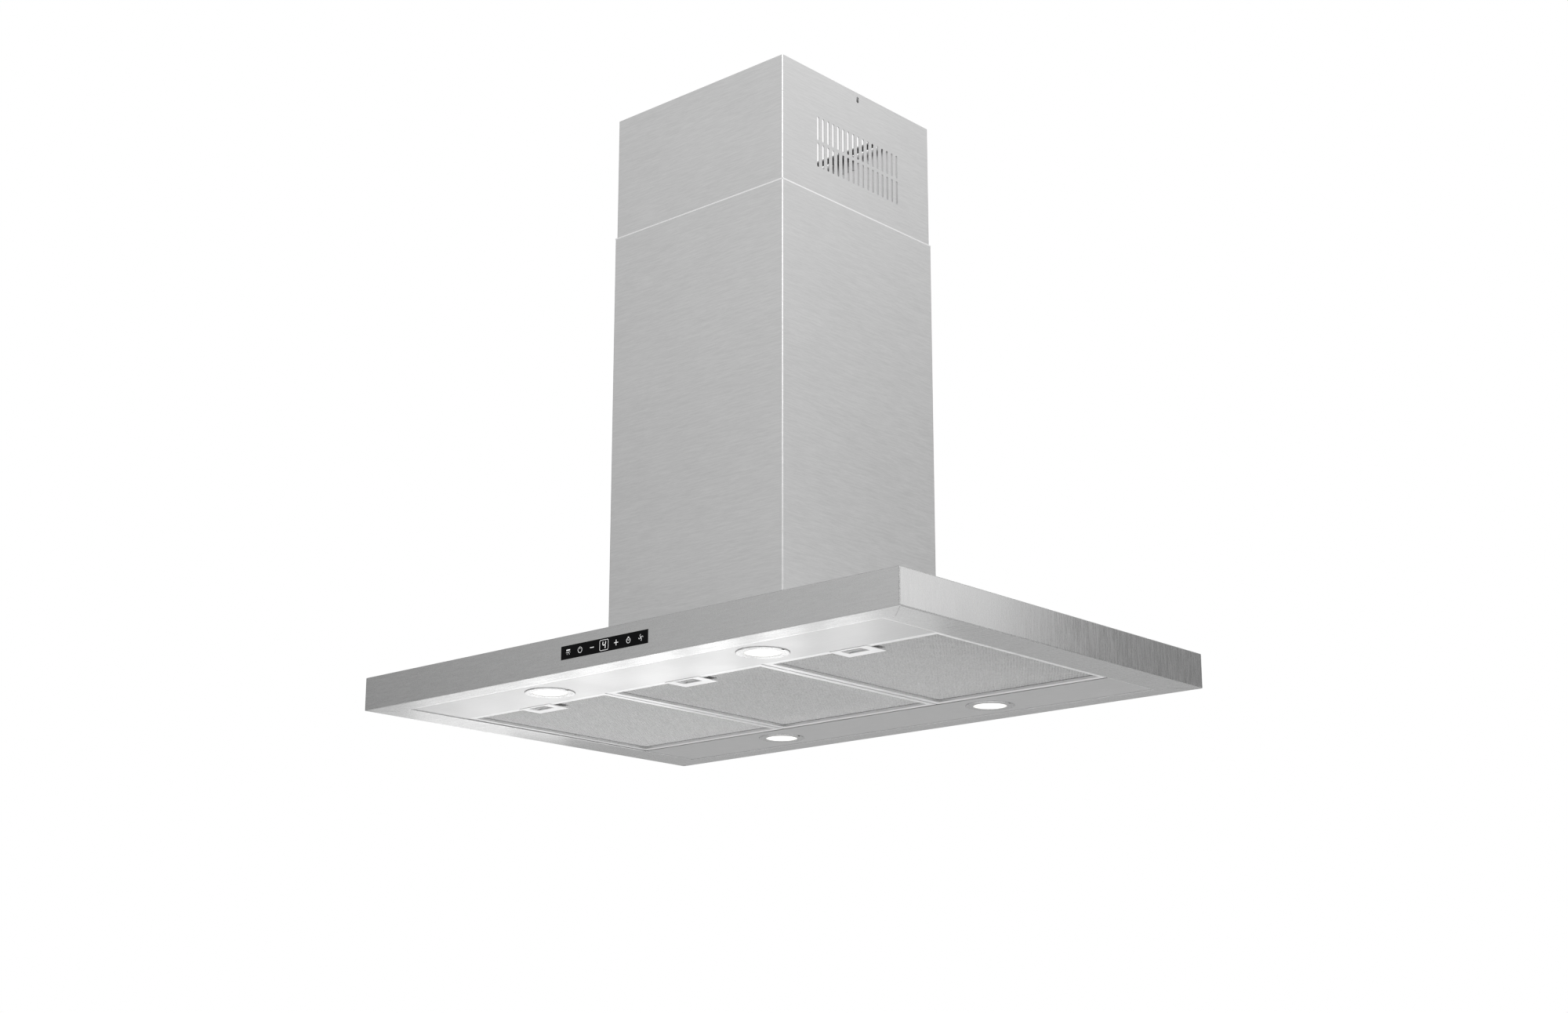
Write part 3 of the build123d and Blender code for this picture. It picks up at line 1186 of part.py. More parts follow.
def power_board():
    """Circuit board with a transformer, two relays and a row of connectors."""
    half = ELEC_WIDTH_Y / 2 - ELEC_WALL - BOARD_MARGIN
    x = ELEC_X + ELEC_WALL + POWER_BOARD_SET
    low = ELEC_BOTTOM + ELEC_WALL + BOARD_MARGIN
    face = x + BOARD_SHEET
    shape = block(x, face, -half, half, low, low + POWER_BOARD_HEIGHT)
    shape += board_block(face, TRANSFORMER_SIZE, TRANSFORMER_PLACE[0] - half, low + TRANSFORMER_PLACE[1])
    for index in range(RELAY_COUNT):
        y = RELAY_PLACE[0] + index * RELAY_PITCH
        shape += board_block(face, RELAY_SIZE, y, low + RELAY_PLACE[1])
    for index in range(CONNECTOR_COUNT):
        y = CONNECTOR_PLACE[0] - half + index * CONNECTOR_PITCH
        shape += board_block(face, CONNECTOR_SIZE, y, low + CONNECTOR_PLACE[1])
    return shape


def board_block(face, size, y, z):
    """One component on a board: its height off the board, its width and its length, from its low corner."""
    return block(face, face + size[0], y, y + size[1], z, z + size[2])


def run_capacitor():
    """Motor capacitor lying against the tray's floor above the board."""
    x = ELEC_X + ELEC_WALL + CAPACITOR_R
    z = ELEC_BOTTOM + ELEC_HEIGHT - ELEC_WALL - CAPACITOR_R - CAPACITOR_TOP_GAP
    y = -ELEC_WIDTH_Y / 2 + ELEC_WALL + CAPACITOR_END_GAP
    can = rod_y(CAPACITOR_R, x, y, y + CAPACITOR_LENGTH, z)
    can = fillet(can.edges().filter_by(GeomType.CIRCLE), CAPACITOR_EDGE)
    end = y + CAPACITOR_LENGTH
    for side in SIDES:
        middle = x + side * TAB_SPACING / 2
        can += block(middle - TAB_THICK / 2, middle + TAB_THICK / 2, end, end + TAB_LENGTH,
                     z - TAB_WIDTH / 2, z + TAB_WIDTH / 2)
    return can


def terminal_block():
    """Screw terminals for the supply lead."""
    y = ELEC_WIDTH_Y / 2 - ELEC_WALL - TERMINAL_MARGIN
    x = ELEC_X + ELEC_WALL
    low = ELEC_BOTTOM + ELEC_HEIGHT - ELEC_WALL - TERMINAL_MARGIN - TERMINAL_HEIGHT
    shape = block(x, x + TERMINAL_DEPTH, y - TERMINAL_LENGTH, y, low, low + TERMINAL_HEIGHT)
    pitch = TERMINAL_LENGTH / TERMINAL_WAYS
    for way in range(TERMINAL_WAYS):
        middle = y - TERMINAL_LENGTH + pitch * (way + 0.5)
        face = x + TERMINAL_DEPTH
        for z in (low + TERMINAL_SCREW_IN, low + TERMINAL_HEIGHT - TERMINAL_SCREW_IN):
            shape -= rod_x(pitch * TERMINAL_SCREW_SHARE, face - TERMINAL_SCREW_DEPTH, face, middle, z)
        shape -= rod_z(pitch * TERMINAL_WIRE_SHARE, x + TERMINAL_DEPTH / 2, middle, low,
                       low + TERMINAL_WIRE_DEPTH)
    return shape


def cable_gland():
    """Gland that the supply lead enters through, with its lock nut inside the box."""
    nut_top = BOX_TOP + GLAND_NUT_HEIGHT
    shape = hex_z(GLAND_NUT_FLATS, GLAND_X, GLAND_Y, BOX_TOP, nut_top)
    dome = rod_z(GLAND_DOME_R, GLAND_X, GLAND_Y, nut_top, nut_top + GLAND_DOME_HEIGHT)
    shape += fillet(dome.edges().group_by(Axis.Z)[-1], GLAND_DOME_EDGE)
    shape += rod_z(GLAND_THREAD_R, GLAND_X, GLAND_Y, BOX_TOP - GLAND_BELOW, BOX_TOP)
    shape += hex_z(GLAND_NUT_FLATS, GLAND_X, GLAND_Y, BOX_INNER_TOP - GLAND_LOCK_HEIGHT, BOX_INNER_TOP)
    top = nut_top + GLAND_DOME_HEIGHT
    return shape - rod_z(GLAND_BORE_R, GLAND_X, GLAND_Y, BOX_TOP - GLAND_BELOW, top)


def hood_screws():
    """All the small cross-head screws on the hood side."""
    places = box_flange_screw_places() + scroll_screw_places() + collar_screw_places()
    places += cover_foot_screw_places()
    short = [screw(point, direction) for point, direction in places]
    long = [screw(point, direction, BUSH_HEIGHT + SCREW_DEPTH) for point, direction in motor_screw_places()]
    return group(short + long)


# ---------------------------------------------------------------- all nodes
def filter_centres():
    names = ("left", "centre", "right")
    middle = (FILTER_COUNT - 1) / 2
    return [(name, (index - middle) * FILTER_PITCH) for index, name in enumerate(names)]


def all_nodes():
    nodes = {
        "ceiling_bracket": ceiling_bracket(),
        "upper_posts": upper_posts(),
        "upper_frame_strap": upper_frame_strap(),
        "upper_cover": upper_cover(),
        "upper_cover_hangers": upper_cover_hangers(),
        "ceiling_frame_screws": ceiling_frame_screws(),
        "lower_posts": lower_posts(),
        "lower_frame_brace": lower_frame_brace(),
        "post_bolts": post_bolts(),
        "height_clamp_screws": height_clamp_screws(),
        "lower_cover": lower_cover(),
        "lower_cover_feet": lower_cover_feet(),
        "canopy_shell": canopy_shell(),
        "light_panel_front": light_panel(-1),
        "light_panel_rear": light_panel(1),
        "filter_side_rails": filter_side_rails(),
        "plenum_wall": plenum_wall(),
        "lamp_bezels": lamp_bezels(),
        "lamp_lenses": lamp_lenses(),
        "lamp_bodies": lamp_bodies(),
        "lamp_clips": lamp_clips(),
        "control_glass": control_glass(),
        "control_housing": control_housing(),
        "control_board": control_board(),
        "blower_box": blower_box(),
        "scroll_left": scroll_half(-1),
        "scroll_right": scroll_half(1),
        "inlet_rings": inlet_rings(),
        "impeller": impeller(),
        "motor_shaft": motor_shaft(),
        "motor": motor(),
        "motor_bracket": motor_bracket(),
        "motor_bushes": motor_bushes(),
        "outlet_collar": outlet_collar(),
        "damper_pin": damper_pin(),
        "damper_flap_front": damper_flap(-1),
        "damper_flap_rear": damper_flap(1),
        "electrics_box": electrics_box(),
        "electrics_lid": electrics_lid(),
        "power_board": power_board(),
        "run_capacitor": run_capacitor(),
        "terminal_block": terminal_block(),
        "cable_gland": cable_gland(),
        "hood_screws": hood_screws(),
    }
    for name, centre in filter_centres():
        nodes["filter_frame_" + name] = filter_frame(centre)
        nodes["filter_mesh_" + name] = filter_mesh(centre)
        nodes["latch_housing_" + name] = latch_housing(centre)
        nodes["latch_slider_" + name] = latch_slider(centre)
        nodes["latch_spring_" + name] = latch_spring(centre)
    return nodes


os.makedirs("parts", exist_ok=True)
for node, shape in all_nodes().items():
    export_step(shape, "parts/" + node + ".step")
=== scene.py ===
import json
import math

import bmesh
import bpy
from mathutils import Matrix, Vector


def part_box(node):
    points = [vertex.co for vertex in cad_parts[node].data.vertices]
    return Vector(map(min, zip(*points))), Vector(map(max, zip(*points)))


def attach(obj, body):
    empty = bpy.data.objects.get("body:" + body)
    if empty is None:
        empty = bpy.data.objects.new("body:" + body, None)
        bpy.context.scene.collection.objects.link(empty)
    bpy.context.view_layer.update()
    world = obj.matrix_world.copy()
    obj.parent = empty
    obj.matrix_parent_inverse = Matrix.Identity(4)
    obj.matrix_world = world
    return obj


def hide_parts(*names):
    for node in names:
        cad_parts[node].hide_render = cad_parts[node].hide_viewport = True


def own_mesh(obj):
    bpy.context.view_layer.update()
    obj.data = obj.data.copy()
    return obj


# An island range hood hung from a ceiling. Metres, +Z up, the touch panel looks to -Y.
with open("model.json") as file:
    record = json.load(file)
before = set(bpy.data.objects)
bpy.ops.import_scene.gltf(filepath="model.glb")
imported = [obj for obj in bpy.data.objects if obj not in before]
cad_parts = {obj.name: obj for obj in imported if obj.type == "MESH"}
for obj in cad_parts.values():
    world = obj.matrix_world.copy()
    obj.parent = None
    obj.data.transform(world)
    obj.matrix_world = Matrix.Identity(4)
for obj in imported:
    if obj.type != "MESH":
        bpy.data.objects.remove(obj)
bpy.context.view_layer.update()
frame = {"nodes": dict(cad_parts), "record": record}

MM = 0.001
SIDES = ("left", "centre", "right")


# ---------------------------------------------------------------- node helpers
class Finish:
    """A material under construction: its nodes, its shader and the object coordinates."""

    def __init__(self, name, **sockets):
        self.material = bpy.data.materials.new(name)
        self.material.use_nodes = True
        self.tree = self.material.node_tree
        self.shader = self.tree.nodes["Principled BSDF"]
        for socket, value in sockets.items():
            self.shader.inputs[socket.replace("_", " ").title().replace("Ior", "IOR")].default_value = value
        texture = self.tree.nodes.new("ShaderNodeTexCoord")
        self.place = texture.outputs["Object"]
        self.facing = texture.outputs["Normal"]

    def node(self, kind, **settings):
        made = self.tree.nodes.new(kind)
        for key, value in settings.items():
            setattr(made, key, value)
        return made

    def put(self, value, socket):
        """Links an output to a socket, or sets a plain number or colour on it."""
        if isinstance(value, bpy.types.NodeSocket):
            self.tree.links.new(value, socket)
        else:
            socket.default_value = value

    def shifted(self, stretch, place=None):
        mapping = self.node("ShaderNodeMapping")
        self.put(place or self.place, mapping.inputs["Vector"])
        mapping.inputs["Scale"].default_value = stretch
        return mapping.outputs["Vector"]

    def noise(self, stretch, detail=3.0, rough=0.55, place=None):
        made = self.node("ShaderNodeTexNoise")
        self.put(self.shifted(stretch, place), made.inputs["Vector"])
        made.inputs["Scale"].default_value = 1.0
        made.inputs["Detail"].default_value = detail
        made.inputs["Roughness"].default_value = rough
        return made.outputs["Fac"]

    def cells(self, stretch, feature="F1", output="Distance"):
        made = self.node("ShaderNodeTexVoronoi", feature=feature)
        self.put(self.shifted(stretch), made.inputs["Vector"])
        made.inputs["Scale"].default_value = 1.0
        return made.outputs[output]

    def maths(self, operation, first, second=0.0, clamp=False):
        made = self.node("ShaderNodeMath", operation=operation, use_clamp=clamp)
        self.put(first, made.inputs[0])
        self.put(second, made.inputs[1])
        return made.outputs[0]

    def weigh(self, first, share, second, clamp=False):
        """The first value's share of the sum, and the rest from the second."""
        return self.maths("ADD", self.maths("MULTIPLY", first, share),
                          self.maths("MULTIPLY", second, 1 - share), clamp)

    def spread(self, value, low, high, to_low=0.0, to_high=1.0):
        made = self.node("ShaderNodeMapRange", interpolation_type="SMOOTHSTEP")
        for socket, amount in zip(made.inputs, (value, low, high, to_low, to_high)):
            self.put(amount, socket)
        return made.outputs[0]

    def blend(self, factor, first, second):
        made = self.node("ShaderNodeMix", data_type="RGBA")
        self.put(factor, made.inputs[0])
        self.put(first, made.inputs[6])
        self.put(second, made.inputs[7])
        return made.outputs[2]

    def blend_value(self, factor, first, second):
        made = self.node("ShaderNodeMix", data_type="FLOAT")
        self.put(factor, made.inputs[0])
        self.put(first, made.inputs[2])
        self.put(second, made.inputs[3])
        return made.outputs[0]

    def split(self, vector):
        made = self.node("ShaderNodeSeparateXYZ")
        self.put(vector, made.inputs[0])
        return made.outputs

    def relief(self, height, depth, strength=1.0):
        """Bumps of a real depth in metres."""
        made = self.node("ShaderNodeBump")
        self.put(height, made.inputs["Height"])
        made.inputs["Distance"].default_value = depth
        made.inputs["Strength"].default_value = strength
        self.put(made.outputs["Normal"], self.shader.inputs["Normal"])

    def colour(self, value):
        self.put(value, self.shader.inputs["Base Color"])

    def roughness(self, value):
        self.put(value, self.shader.inputs["Roughness"])


def grey(level, warm=0.0):
    return (level * (1 + warm), level, level * (1 - warm), 1.0)


GRAIN_FINE = 1150.0
GRAIN_COARSE = 420.0
GRAIN_ALONG = 84.0
GRAIN_FINE_SHARE = 0.55
GRAIN_DEPTH = 0.00002
SMEAR_SHARE = 0.25
END_FACE = 0.7


def grain_of(made, across, along, detail, rough, folded):
    """One layer of brushed grain: level on a cover; on a folded sheet along X, and upright on its ends."""
    if not folded:
        return made.noise((along, along, across), detail, rough)
    level = made.noise((along, across, across), detail, rough)
    upright = made.noise((1, across, along), detail, rough)
    on_end = made.maths("GREATER_THAN", made.maths("ABSOLUTE", made.split(made.facing)[0]), END_FACE)
    return made.blend_value(on_end, level, upright)


def brushed_steel(name, dark, light, folded, rough, blotch=0.25):
    """Brushed stainless steel with soft blotches; a cover's grain also stretches its highlights."""
    made = Finish(name, metallic=1.0, anisotropic=0.0 if folded else 0.5)
    fine_grain = grain_of(made, GRAIN_FINE, GRAIN_ALONG, 4.0, 0.7, folded)
    coarse_grain = grain_of(made, GRAIN_COARSE, GRAIN_ALONG / 3, 3.0, 0.6, folded)
    grain = made.weigh(fine_grain, GRAIN_FINE_SHARE, coarse_grain)
    cloud = made.noise((9, 9, 14))
    tone = made.weigh(cloud, blotch, made.spread(grain, 0.25, 0.75), True)
    made.colour(made.blend(tone, dark, light))
    smear = made.maths("MULTIPLY", made.noise((14, 14, 9)), SMEAR_SHARE)
    made.roughness(made.spread(made.maths("ADD", grain, smear), 0.3, 0.95, rough - 0.05, rough + 0.09))
    if not folded:
        turn = made.node("ShaderNodeTangent", direction_type="RADIAL", axis="Z")
        made.put(turn.outputs[0], made.shader.inputs["Tangent"])
    made.relief(grain, GRAIN_DEPTH, 0.35 if folded else 0.6)
    return made.material


def sheet_metal(name, dark, light, rough, spangle):
    """Hot-dipped sheet with its crystal pattern, and a few rubbed patches."""
    made = Finish(name, metallic=1.0)
    crystal = made.cells((spangle, spangle, spangle), output="Color")
    worn = made.spread(made.noise((30, 30, 30), 4.0), 0.55, 0.7)
    tone = made.weigh(made.split(crystal)[0], 0.7, worn, True)
    made.colour(made.blend(tone, dark, light))
    made.roughness(made.spread(tone, 0.0, 1.0, rough - 0.06, rough + 0.1))
    made.relief(made.noise((420, 420, 420)), 0.00003, 0.5)
    return made.material


def fine_metal(name, dark, light, rough, stretch, depth=0.00003):
    """Plain bright metal with drawing marks and faint handling marks."""
    made = Finish(name, metallic=1.0)
    marks = made.noise(stretch, 4.0, 0.65)
    handled = made.spread(made.noise((60, 60, 60)), 0.5, 0.75)
    tone = made.spread(marks, 0.3, 0.7)
    made.colour(made.blend(tone, dark, light))
    made.roughness(made.maths("ADD", made.spread(marks, 0.3, 0.7, rough - 0.05, rough + 0.07),
                              made.maths("MULTIPLY", handled, 0.06)))
    made.relief(marks, depth, 0.5)
    return made.material


def moulded(name, dark, light, rough, grit=900.0, depth=0.00004, coat=0.0):
    """Moulded plastic or paint: a fine pebbled skin and slow changes of tone."""
    made = Finish(name, metallic=0.0, coat_weight=coat)
    skin = made.noise((grit, grit, grit))
    flow = made.noise((22, 22, 30), 2.0)
    tone = made.weigh(skin, 0.35, flow, True)
    made.colour(made.blend(made.spread(tone, 0.3, 0.7), dark, light))
    made.roughness(made.spread(flow, 0.3, 0.7, rough - 0.05, rough + 0.08))
    made.relief(skin, depth, 0.6)
    return made.material


def circuit_board():
    """Green solder mask over copper runs, with bare tinned spots."""
    made = Finish("board_green", metallic=0.0, coat_weight=0.35)
    runs = made.cells((230, 230, 230), "DISTANCE_TO_EDGE")
    on_run = made.spread(runs, 0.03, 0.09, 1.0, 0.0)
    spots = made.spread(made.cells((310, 310, 310)), 0.10, 0.16, 1.0, 0.0)
    mask = made.blend(made.noise((40, 40, 40)), (0.004, 0.052, 0.018, 1), (0.008, 0.088, 0.030, 1))
    tracks = made.blend(on_run, mask, (0.012, 0.150, 0.045, 1))
    made.colour(made.blend(spots, tracks, (0.62, 0.60, 0.55, 1)))
    made.roughness(made.spread(spots, 0.0, 1.0, 0.42, 0.25))
    made.relief(made.maths("ADD", on_run, spots), 0.00003, 0.7)
    return made.material


LENS_RADIUS = 22 * MM
LENS_RING_PITCH = 2.6 * MM
LENS_LIGHT = 1.9


def lit_lens(reach, radius):
    """Frosted lens over a lit lamp: brightest in the middle, with pressed rings in it."""
    made = Finish("lamp_lens", metallic=0.0, coat_weight=0.2)
    x, y, _ = made.split(made.place)
    off_x = made.maths("SUBTRACT", made.maths("ABSOLUTE", x), reach.x)
    off_y = made.maths("SUBTRACT", made.maths("ABSOLUTE", y), reach.y)
    far = made.maths("SQRT", made.maths("ADD", made.maths("MULTIPLY", off_x, off_x),
                                        made.maths("MULTIPLY", off_y, off_y)))
    rings = made.maths("SINE", made.maths("MULTIPLY", far, 2 * math.pi / LENS_RING_PITCH))
    frost = made.noise((1300, 1300, 1300))
    glow = made.spread(far, radius * 0.50, radius * 0.98, 1.0, 0.16)
    glow = made.maths("MULTIPLY", glow, made.spread(rings, -1.0, 1.0, 0.92, 1.0))
    glow = made.maths("MULTIPLY", glow, made.spread(frost, 0.3, 0.7, 0.94, 1.0))
    shine = made.node("ShaderNodeVectorMath", operation="SCALE")
    shine.inputs[0].default_value = (1.0, 0.985, 0.95)
    made.put(glow, shine.inputs["Scale"])
    made.put(shine.outputs[0], made.shader.inputs["Emission Color"])
    made.shader.inputs["Emission Strength"].default_value = LENS_LIGHT
    made.colour(made.blend(frost, (0.80, 0.80, 0.78, 1), (0.92, 0.92, 0.90, 1)))
    made.roughness(made.spread(frost, 0.3, 0.7, 0.4, 0.6))
    made.relief(made.maths("ADD", rings, frost), 0.00006, 0.8)
    return made.material


def black_glass():
    """Black printed glass: deep gloss, a faint print texture and a little dust."""
    made = Finish("panel_glass", metallic=0.0, specular_ior_level=0.04, coat_weight=0.02, coat_roughness=0.04)
    print_dots = made.spread(made.cells((1800, 1800, 1800)), 0.2, 0.5)
    dust = made.spread(made.noise((260, 260, 260), 5.0), 0.62, 0.8)
    ink = made.blend(print_dots, (0.0022, 0.0022, 0.0026, 1), (0.0040, 0.0040, 0.0046, 1))
    made.colour(made.blend(dust, ink, (0.016, 0.016, 0.017, 1)))
    made.roughness(made.spread(dust, 0.0, 1.0, 0.09, 0.22))
    made.relief(print_dots, 0.000005, 0.2)
    return made.material


def lit_symbol():
    """White printed symbols, softly lit from behind."""
    made = Finish("symbol_white", metallic=0.0, roughness=0.5)
    grain = made.noise((2400, 2400, 2400))
    made.colour(made.blend(grain, grey(0.78), grey(0.92)))
    made.put(made.blend(grain, grey(0.80), grey(1.0)), made.shader.inputs["Emission Color"])
    made.shader.inputs["Emission Strength"].default_value = 0.2
    made.relief(grain, 0.00001, 0.3)
    return made.material


# ---------------------------------------------------------------- finishes by slot
lens_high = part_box("lamp_lenses")[1]
LAMP_REACH = Vector((lens_high.x - LENS_RADIUS, lens_high.y - LENS_RADIUS, 0))

FINISHES = {
    "cover_steel": brushed_steel("cover_steel", grey(0.60), grey(0.76), False, 0.33),
    "canopy_steel": brushed_steel("canopy_steel", grey(0.52), grey(0.66), True, 0.26),
    "panel_steel": brushed_steel("panel_steel", grey(0.56), grey(0.70), True, 0.32),
    "galvanised": sheet_metal("galvanised", grey(0.36), grey(0.62), 0.38, 95.0),
    "filter_aluminium": fine_metal("filter_aluminium", grey(0.84), grey(0.97), 0.40, (12, 500, 500)),
    "mesh_aluminium": fine_metal("mesh_aluminium", grey(0.48), grey(0.70), 0.36, (700, 700, 700), 0.00005),
    "latch_metal": moulded("latch_metal", grey(0.88), grey(0.95), 0.35),
    "slider_plastic": moulded("slider_plastic", grey(0.62), grey(0.72), 0.42),
    "spring_steel": fine_metal("spring_steel", grey(0.45), grey(0.66), 0.28, (900, 900, 900)),
    "screw_steel": fine_metal("screw_steel", grey(0.50), grey(0.74), 0.30, (1100, 1100, 1100)),
    "bezel_metal": fine_metal("bezel_metal", grey(0.48), grey(0.64), 0.26, (500, 500, 500)),
    "lamp_lens": lit_lens(LAMP_REACH, LENS_RADIUS),
    "lamp_alloy": fine_metal("lamp_alloy", grey(0.45), grey(0.60), 0.46, (800, 800, 200), 0.00006),
    "panel_glass": black_glass(),
    "black_plastic": moulded("black_plastic", grey(0.012), grey(0.026), 0.5),
    "grey_plastic": moulded("grey_plastic", grey(0.20), grey(0.27), 0.52),
    "board_green": circuit_board(),
    "motor_enamel": moulded("motor_enamel", (0.020, 0.026, 0.034, 1), (0.040, 0.048, 0.060, 1), 0.36,
                            400.0, 0.00008, 0.3),
    "shaft_steel": fine_metal("shaft_steel", grey(0.52), grey(0.76), 0.22, (1600, 60, 60)),
    "rubber": moulded("rubber", grey(0.010), grey(0.020), 0.8, 1400.0, 0.00006),
    "capacitor_case": moulded("capacitor_case", grey(0.55, 0.02), grey(0.66, 0.02), 0.42),
}
SYMBOL_WHITE = lit_symbol()
# A copy of the sheet steel, much brighter than the sheets the edges belong to: the edges are real, their
# extra brightness is a painted highlight.
EDGE_STEEL_PAINTED_HIGHLIGHT = fine_metal("edge_steel_painted_highlight", grey(0.88), grey(0.97), 0.24, (60, 60, 900))

for subpart in frame["record"]["subparts"]:
    skin = frame["nodes"][subpart["node"]].data.materials
    skin.clear()
    skin.append(FINISHES[subpart["material_slot"]])


# ---------------------------------------------------------------- mesh helpers
TINY = 1e-6


def piece(name, bm, material, body, stands_for=()):
    """Turns a finished bmesh into a piece that rides on a body, its faces outwards."""
    bmesh.ops.remove_doubles(bm, verts=bm.verts, dist=TINY / 10)
    bmesh.ops.recalc_face_normals(bm, faces=bm.faces)
    mesh = bpy.data.meshes.new(name)
    bm.to_mesh(mesh)
    bm.free()
    return place_piece(name, mesh, material, body, stands_for)


def place_piece(name, mesh, material, body, stands_for=()):
    """Links a mesh as a piece with its finish, its body and the node it stands for."""
    mesh.materials.clear()
    mesh.materials.append(material)
    made = bpy.data.objects.new(name, mesh)
    bpy.context.scene.collection.objects.link(made)
    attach(made, body)
    if stands_for:
        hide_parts(*stands_for)
    return made


def solid_box(bm, low, high):
    """An eight-cornered block between two corners; returns its vertices."""
    made = bmesh.ops.create_cube(bm, size=1.0)["verts"]
    size = [high[i] - low[i] for i in range(3)]
    middle = [(high[i] + low[i]) / 2 for i in range(3)]
    bmesh.ops.scale(bm, vec=size, verts=made)
    bmesh.ops.translate(bm, vec=middle, verts=made)
    return made


def soften(bm, edges, amount, segments=2):
    """Rounds edges over."""
    bmesh.ops.bevel(bm, geom=edges, offset=amount, offset_type="OFFSET", segments=segments,
                    profile=0.5, affect="EDGES", material=-1, clamp_overlap=True)


# ---------------------------------------------------------------- expanded mesh of the filters
MESH_PITCH_X = 4.4 * MM
MESH_PITCH_Y = 6.0 * MM
MESH_STRAND = 0.62 * MM
MESH_LIFT = 0.35 * MM
MESH_THICK = 0.30 * MM
MESH_ABOVE_LOW = 0.4 * MM
BACK_PITCH_X = 10.0 * MM
BACK_PITCH_Y = 14.0 * MM
BACK_STRAND = 1.3 * MM
BACK_BELOW_TOP = 0.9 * MM
LATCH_BLOCK_HALF = 17.0 * MM
LATCH_BLOCK_DEPTH = 28.6 * MM


def expanded_sheet(low, high, base, pitch_x, pitch_y, strand):
    """A slit and stretched sheet: a turned square grid, stretched to diamonds, each opened."""
    bm = bmesh.new()
    width, depth = high.x - low.x, high.y - low.y
    cells = 2 * math.ceil((width / pitch_x + depth / pitch_y) / 2 + 1)
    bmesh.ops.create_grid(bm, x_segments=cells, y_segments=cells, size=cells / 2)
    bmesh.ops.rotate(bm, verts=bm.verts, cent=(0, 0, 0), matrix=Matrix.Rotation(math.pi / 4, 3, "Z"))
    half_diagonal = math.sqrt(0.5)
    bmesh.ops.scale(bm, verts=bm.verts, vec=(pitch_x * half_diagonal, pitch_y * half_diagonal, 1))
    middle = Vector(((low.x + high.x) / 2, (low.y + high.y) / 2, base))
    bmesh.ops.translate(bm, verts=bm.verts, vec=middle)
    for point, normal in ((low, (-1, 0, 0)), (low, (0, -1, 0)), (high, (1, 0, 0)), (high, (0, 1, 0))):
        bmesh.ops.bisect_plane(bm, geom=bm.verts[:] + bm.edges[:] + bm.faces[:], dist=TINY,
                               plane_co=(point[0], point[1], base), plane_no=normal, clear_outer=True)
    latch_back = low.y + LATCH_BLOCK_DEPTH
    cut = [f for f in bm.faces if abs(f.calc_center_median().x - middle.x) < LATCH_BLOCK_HALF
           and f.calc_center_median().y < latch_back]
    bmesh.ops.delete(bm, geom=cut, context="FACES")
    before = bm.faces[:]
    bmesh.ops.inset_individual(bm, faces=before, thickness=strand / 2, depth=MESH_LIFT, use_even_offset=True)
    bmesh.ops.delete(bm, geom=before, context="FACES")
    bmesh.ops.recalc_face_normals(bm, faces=bm.faces)
    bmesh.ops.solidify(bm, geom=bm.faces[:], thickness=MESH_THICK)
    return bm


left_low, left_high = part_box("filter_mesh_left")
for layer, base, pitch_x, pitch_y, strand in (
        ("expanded_mesh", left_low.z + MESH_ABOVE_LOW, MESH_PITCH_X, MESH_PITCH_Y, MESH_STRAND),
        ("backing_mesh", left_high.z - BACK_BELOW_TOP, BACK_PITCH_X, BACK_PITCH_Y, BACK_STRAND)):
    bm = expanded_sheet(left_low, left_high, base, pitch_x, pitch_y, strand)
    mesh = bpy.data.meshes.new(layer)
    bm.to_mesh(mesh)
    bm.free()
    for side in SIDES:
        own = mesh.copy()
        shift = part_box("filter_mesh_" + side)[0].x - left_low.x
        own.transform(Matrix.Translation((shift, 0, 0)))
        stands_for = ("filter_mesh_" + side,) if layer == "expanded_mesh" else ()
        place_piece(layer + "_" + side, own, FINISHES["mesh_aluminium"], "filter_" + side,
                    stands_for)
    bpy.data.meshes.remove(mesh)


for side in SIDES:
    spring = "latch_spring_" + side
    bm = bmesh.new()
    bm.from_mesh(frame["nodes"][spring].data)
    coil = piece("latch_coil_" + side, bm, FINISHES["spring_steel"], "filter_" + side,
                 (spring,))
    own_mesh(coil)


# ---------------------------------------------------------------- real sheet edges in a brighter steel, a painted highlight
HEM_WIDTH = 0.9 * MM
OPENING_HALF_X = 400 * MM
OPENING_HALF_Y = 268 * MM
EDGE_HEIGHT = 1.8 * MM
COVER_SHEET = 1.0 * MM


def edge_ring(bm, half_x, half_y, width, low, high):
    """A closed rectangular bead between two heights, its outer face at the given halves."""
    for side in (-1, 1):
        solid_box(bm, (-half_x, side * half_y - max(side, 0) * width, low),
                  (half_x, side * half_y - min(side, 0) * width, high))
        solid_box(bm, (side * half_x - max(side, 0) * width, -half_y + width, low),
                  (side * half_x - min(side, 0) * width, half_y - width, high))


shell_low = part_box("canopy_shell")[0]
# The folded rim round the filter opening in the bright edge steel: a real edge with a painted highlight line
# along it.
bm = bmesh.new()
edge_ring(bm, OPENING_HALF_X, OPENING_HALF_Y, HEM_WIDTH, shell_low.z, shell_low.z + HEM_WIDTH)
piece("rim_hem", bm, EDGE_STEEL_PAINTED_HIGHLIGHT, "hood")

cover_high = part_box("lower_cover")[1]
# The top edge of the lower cover in the bright edge steel: a real edge with a painted highlight line at the
# seam.
bm = bmesh.new()
edge_ring(bm, cover_high.x, cover_high.y, COVER_SHEET, cover_high.z, cover_high.z + EDGE_HEIGHT)
piece("cover_top_edge", bm, EDGE_STEEL_PAINTED_HIGHLIGHT, "hood")


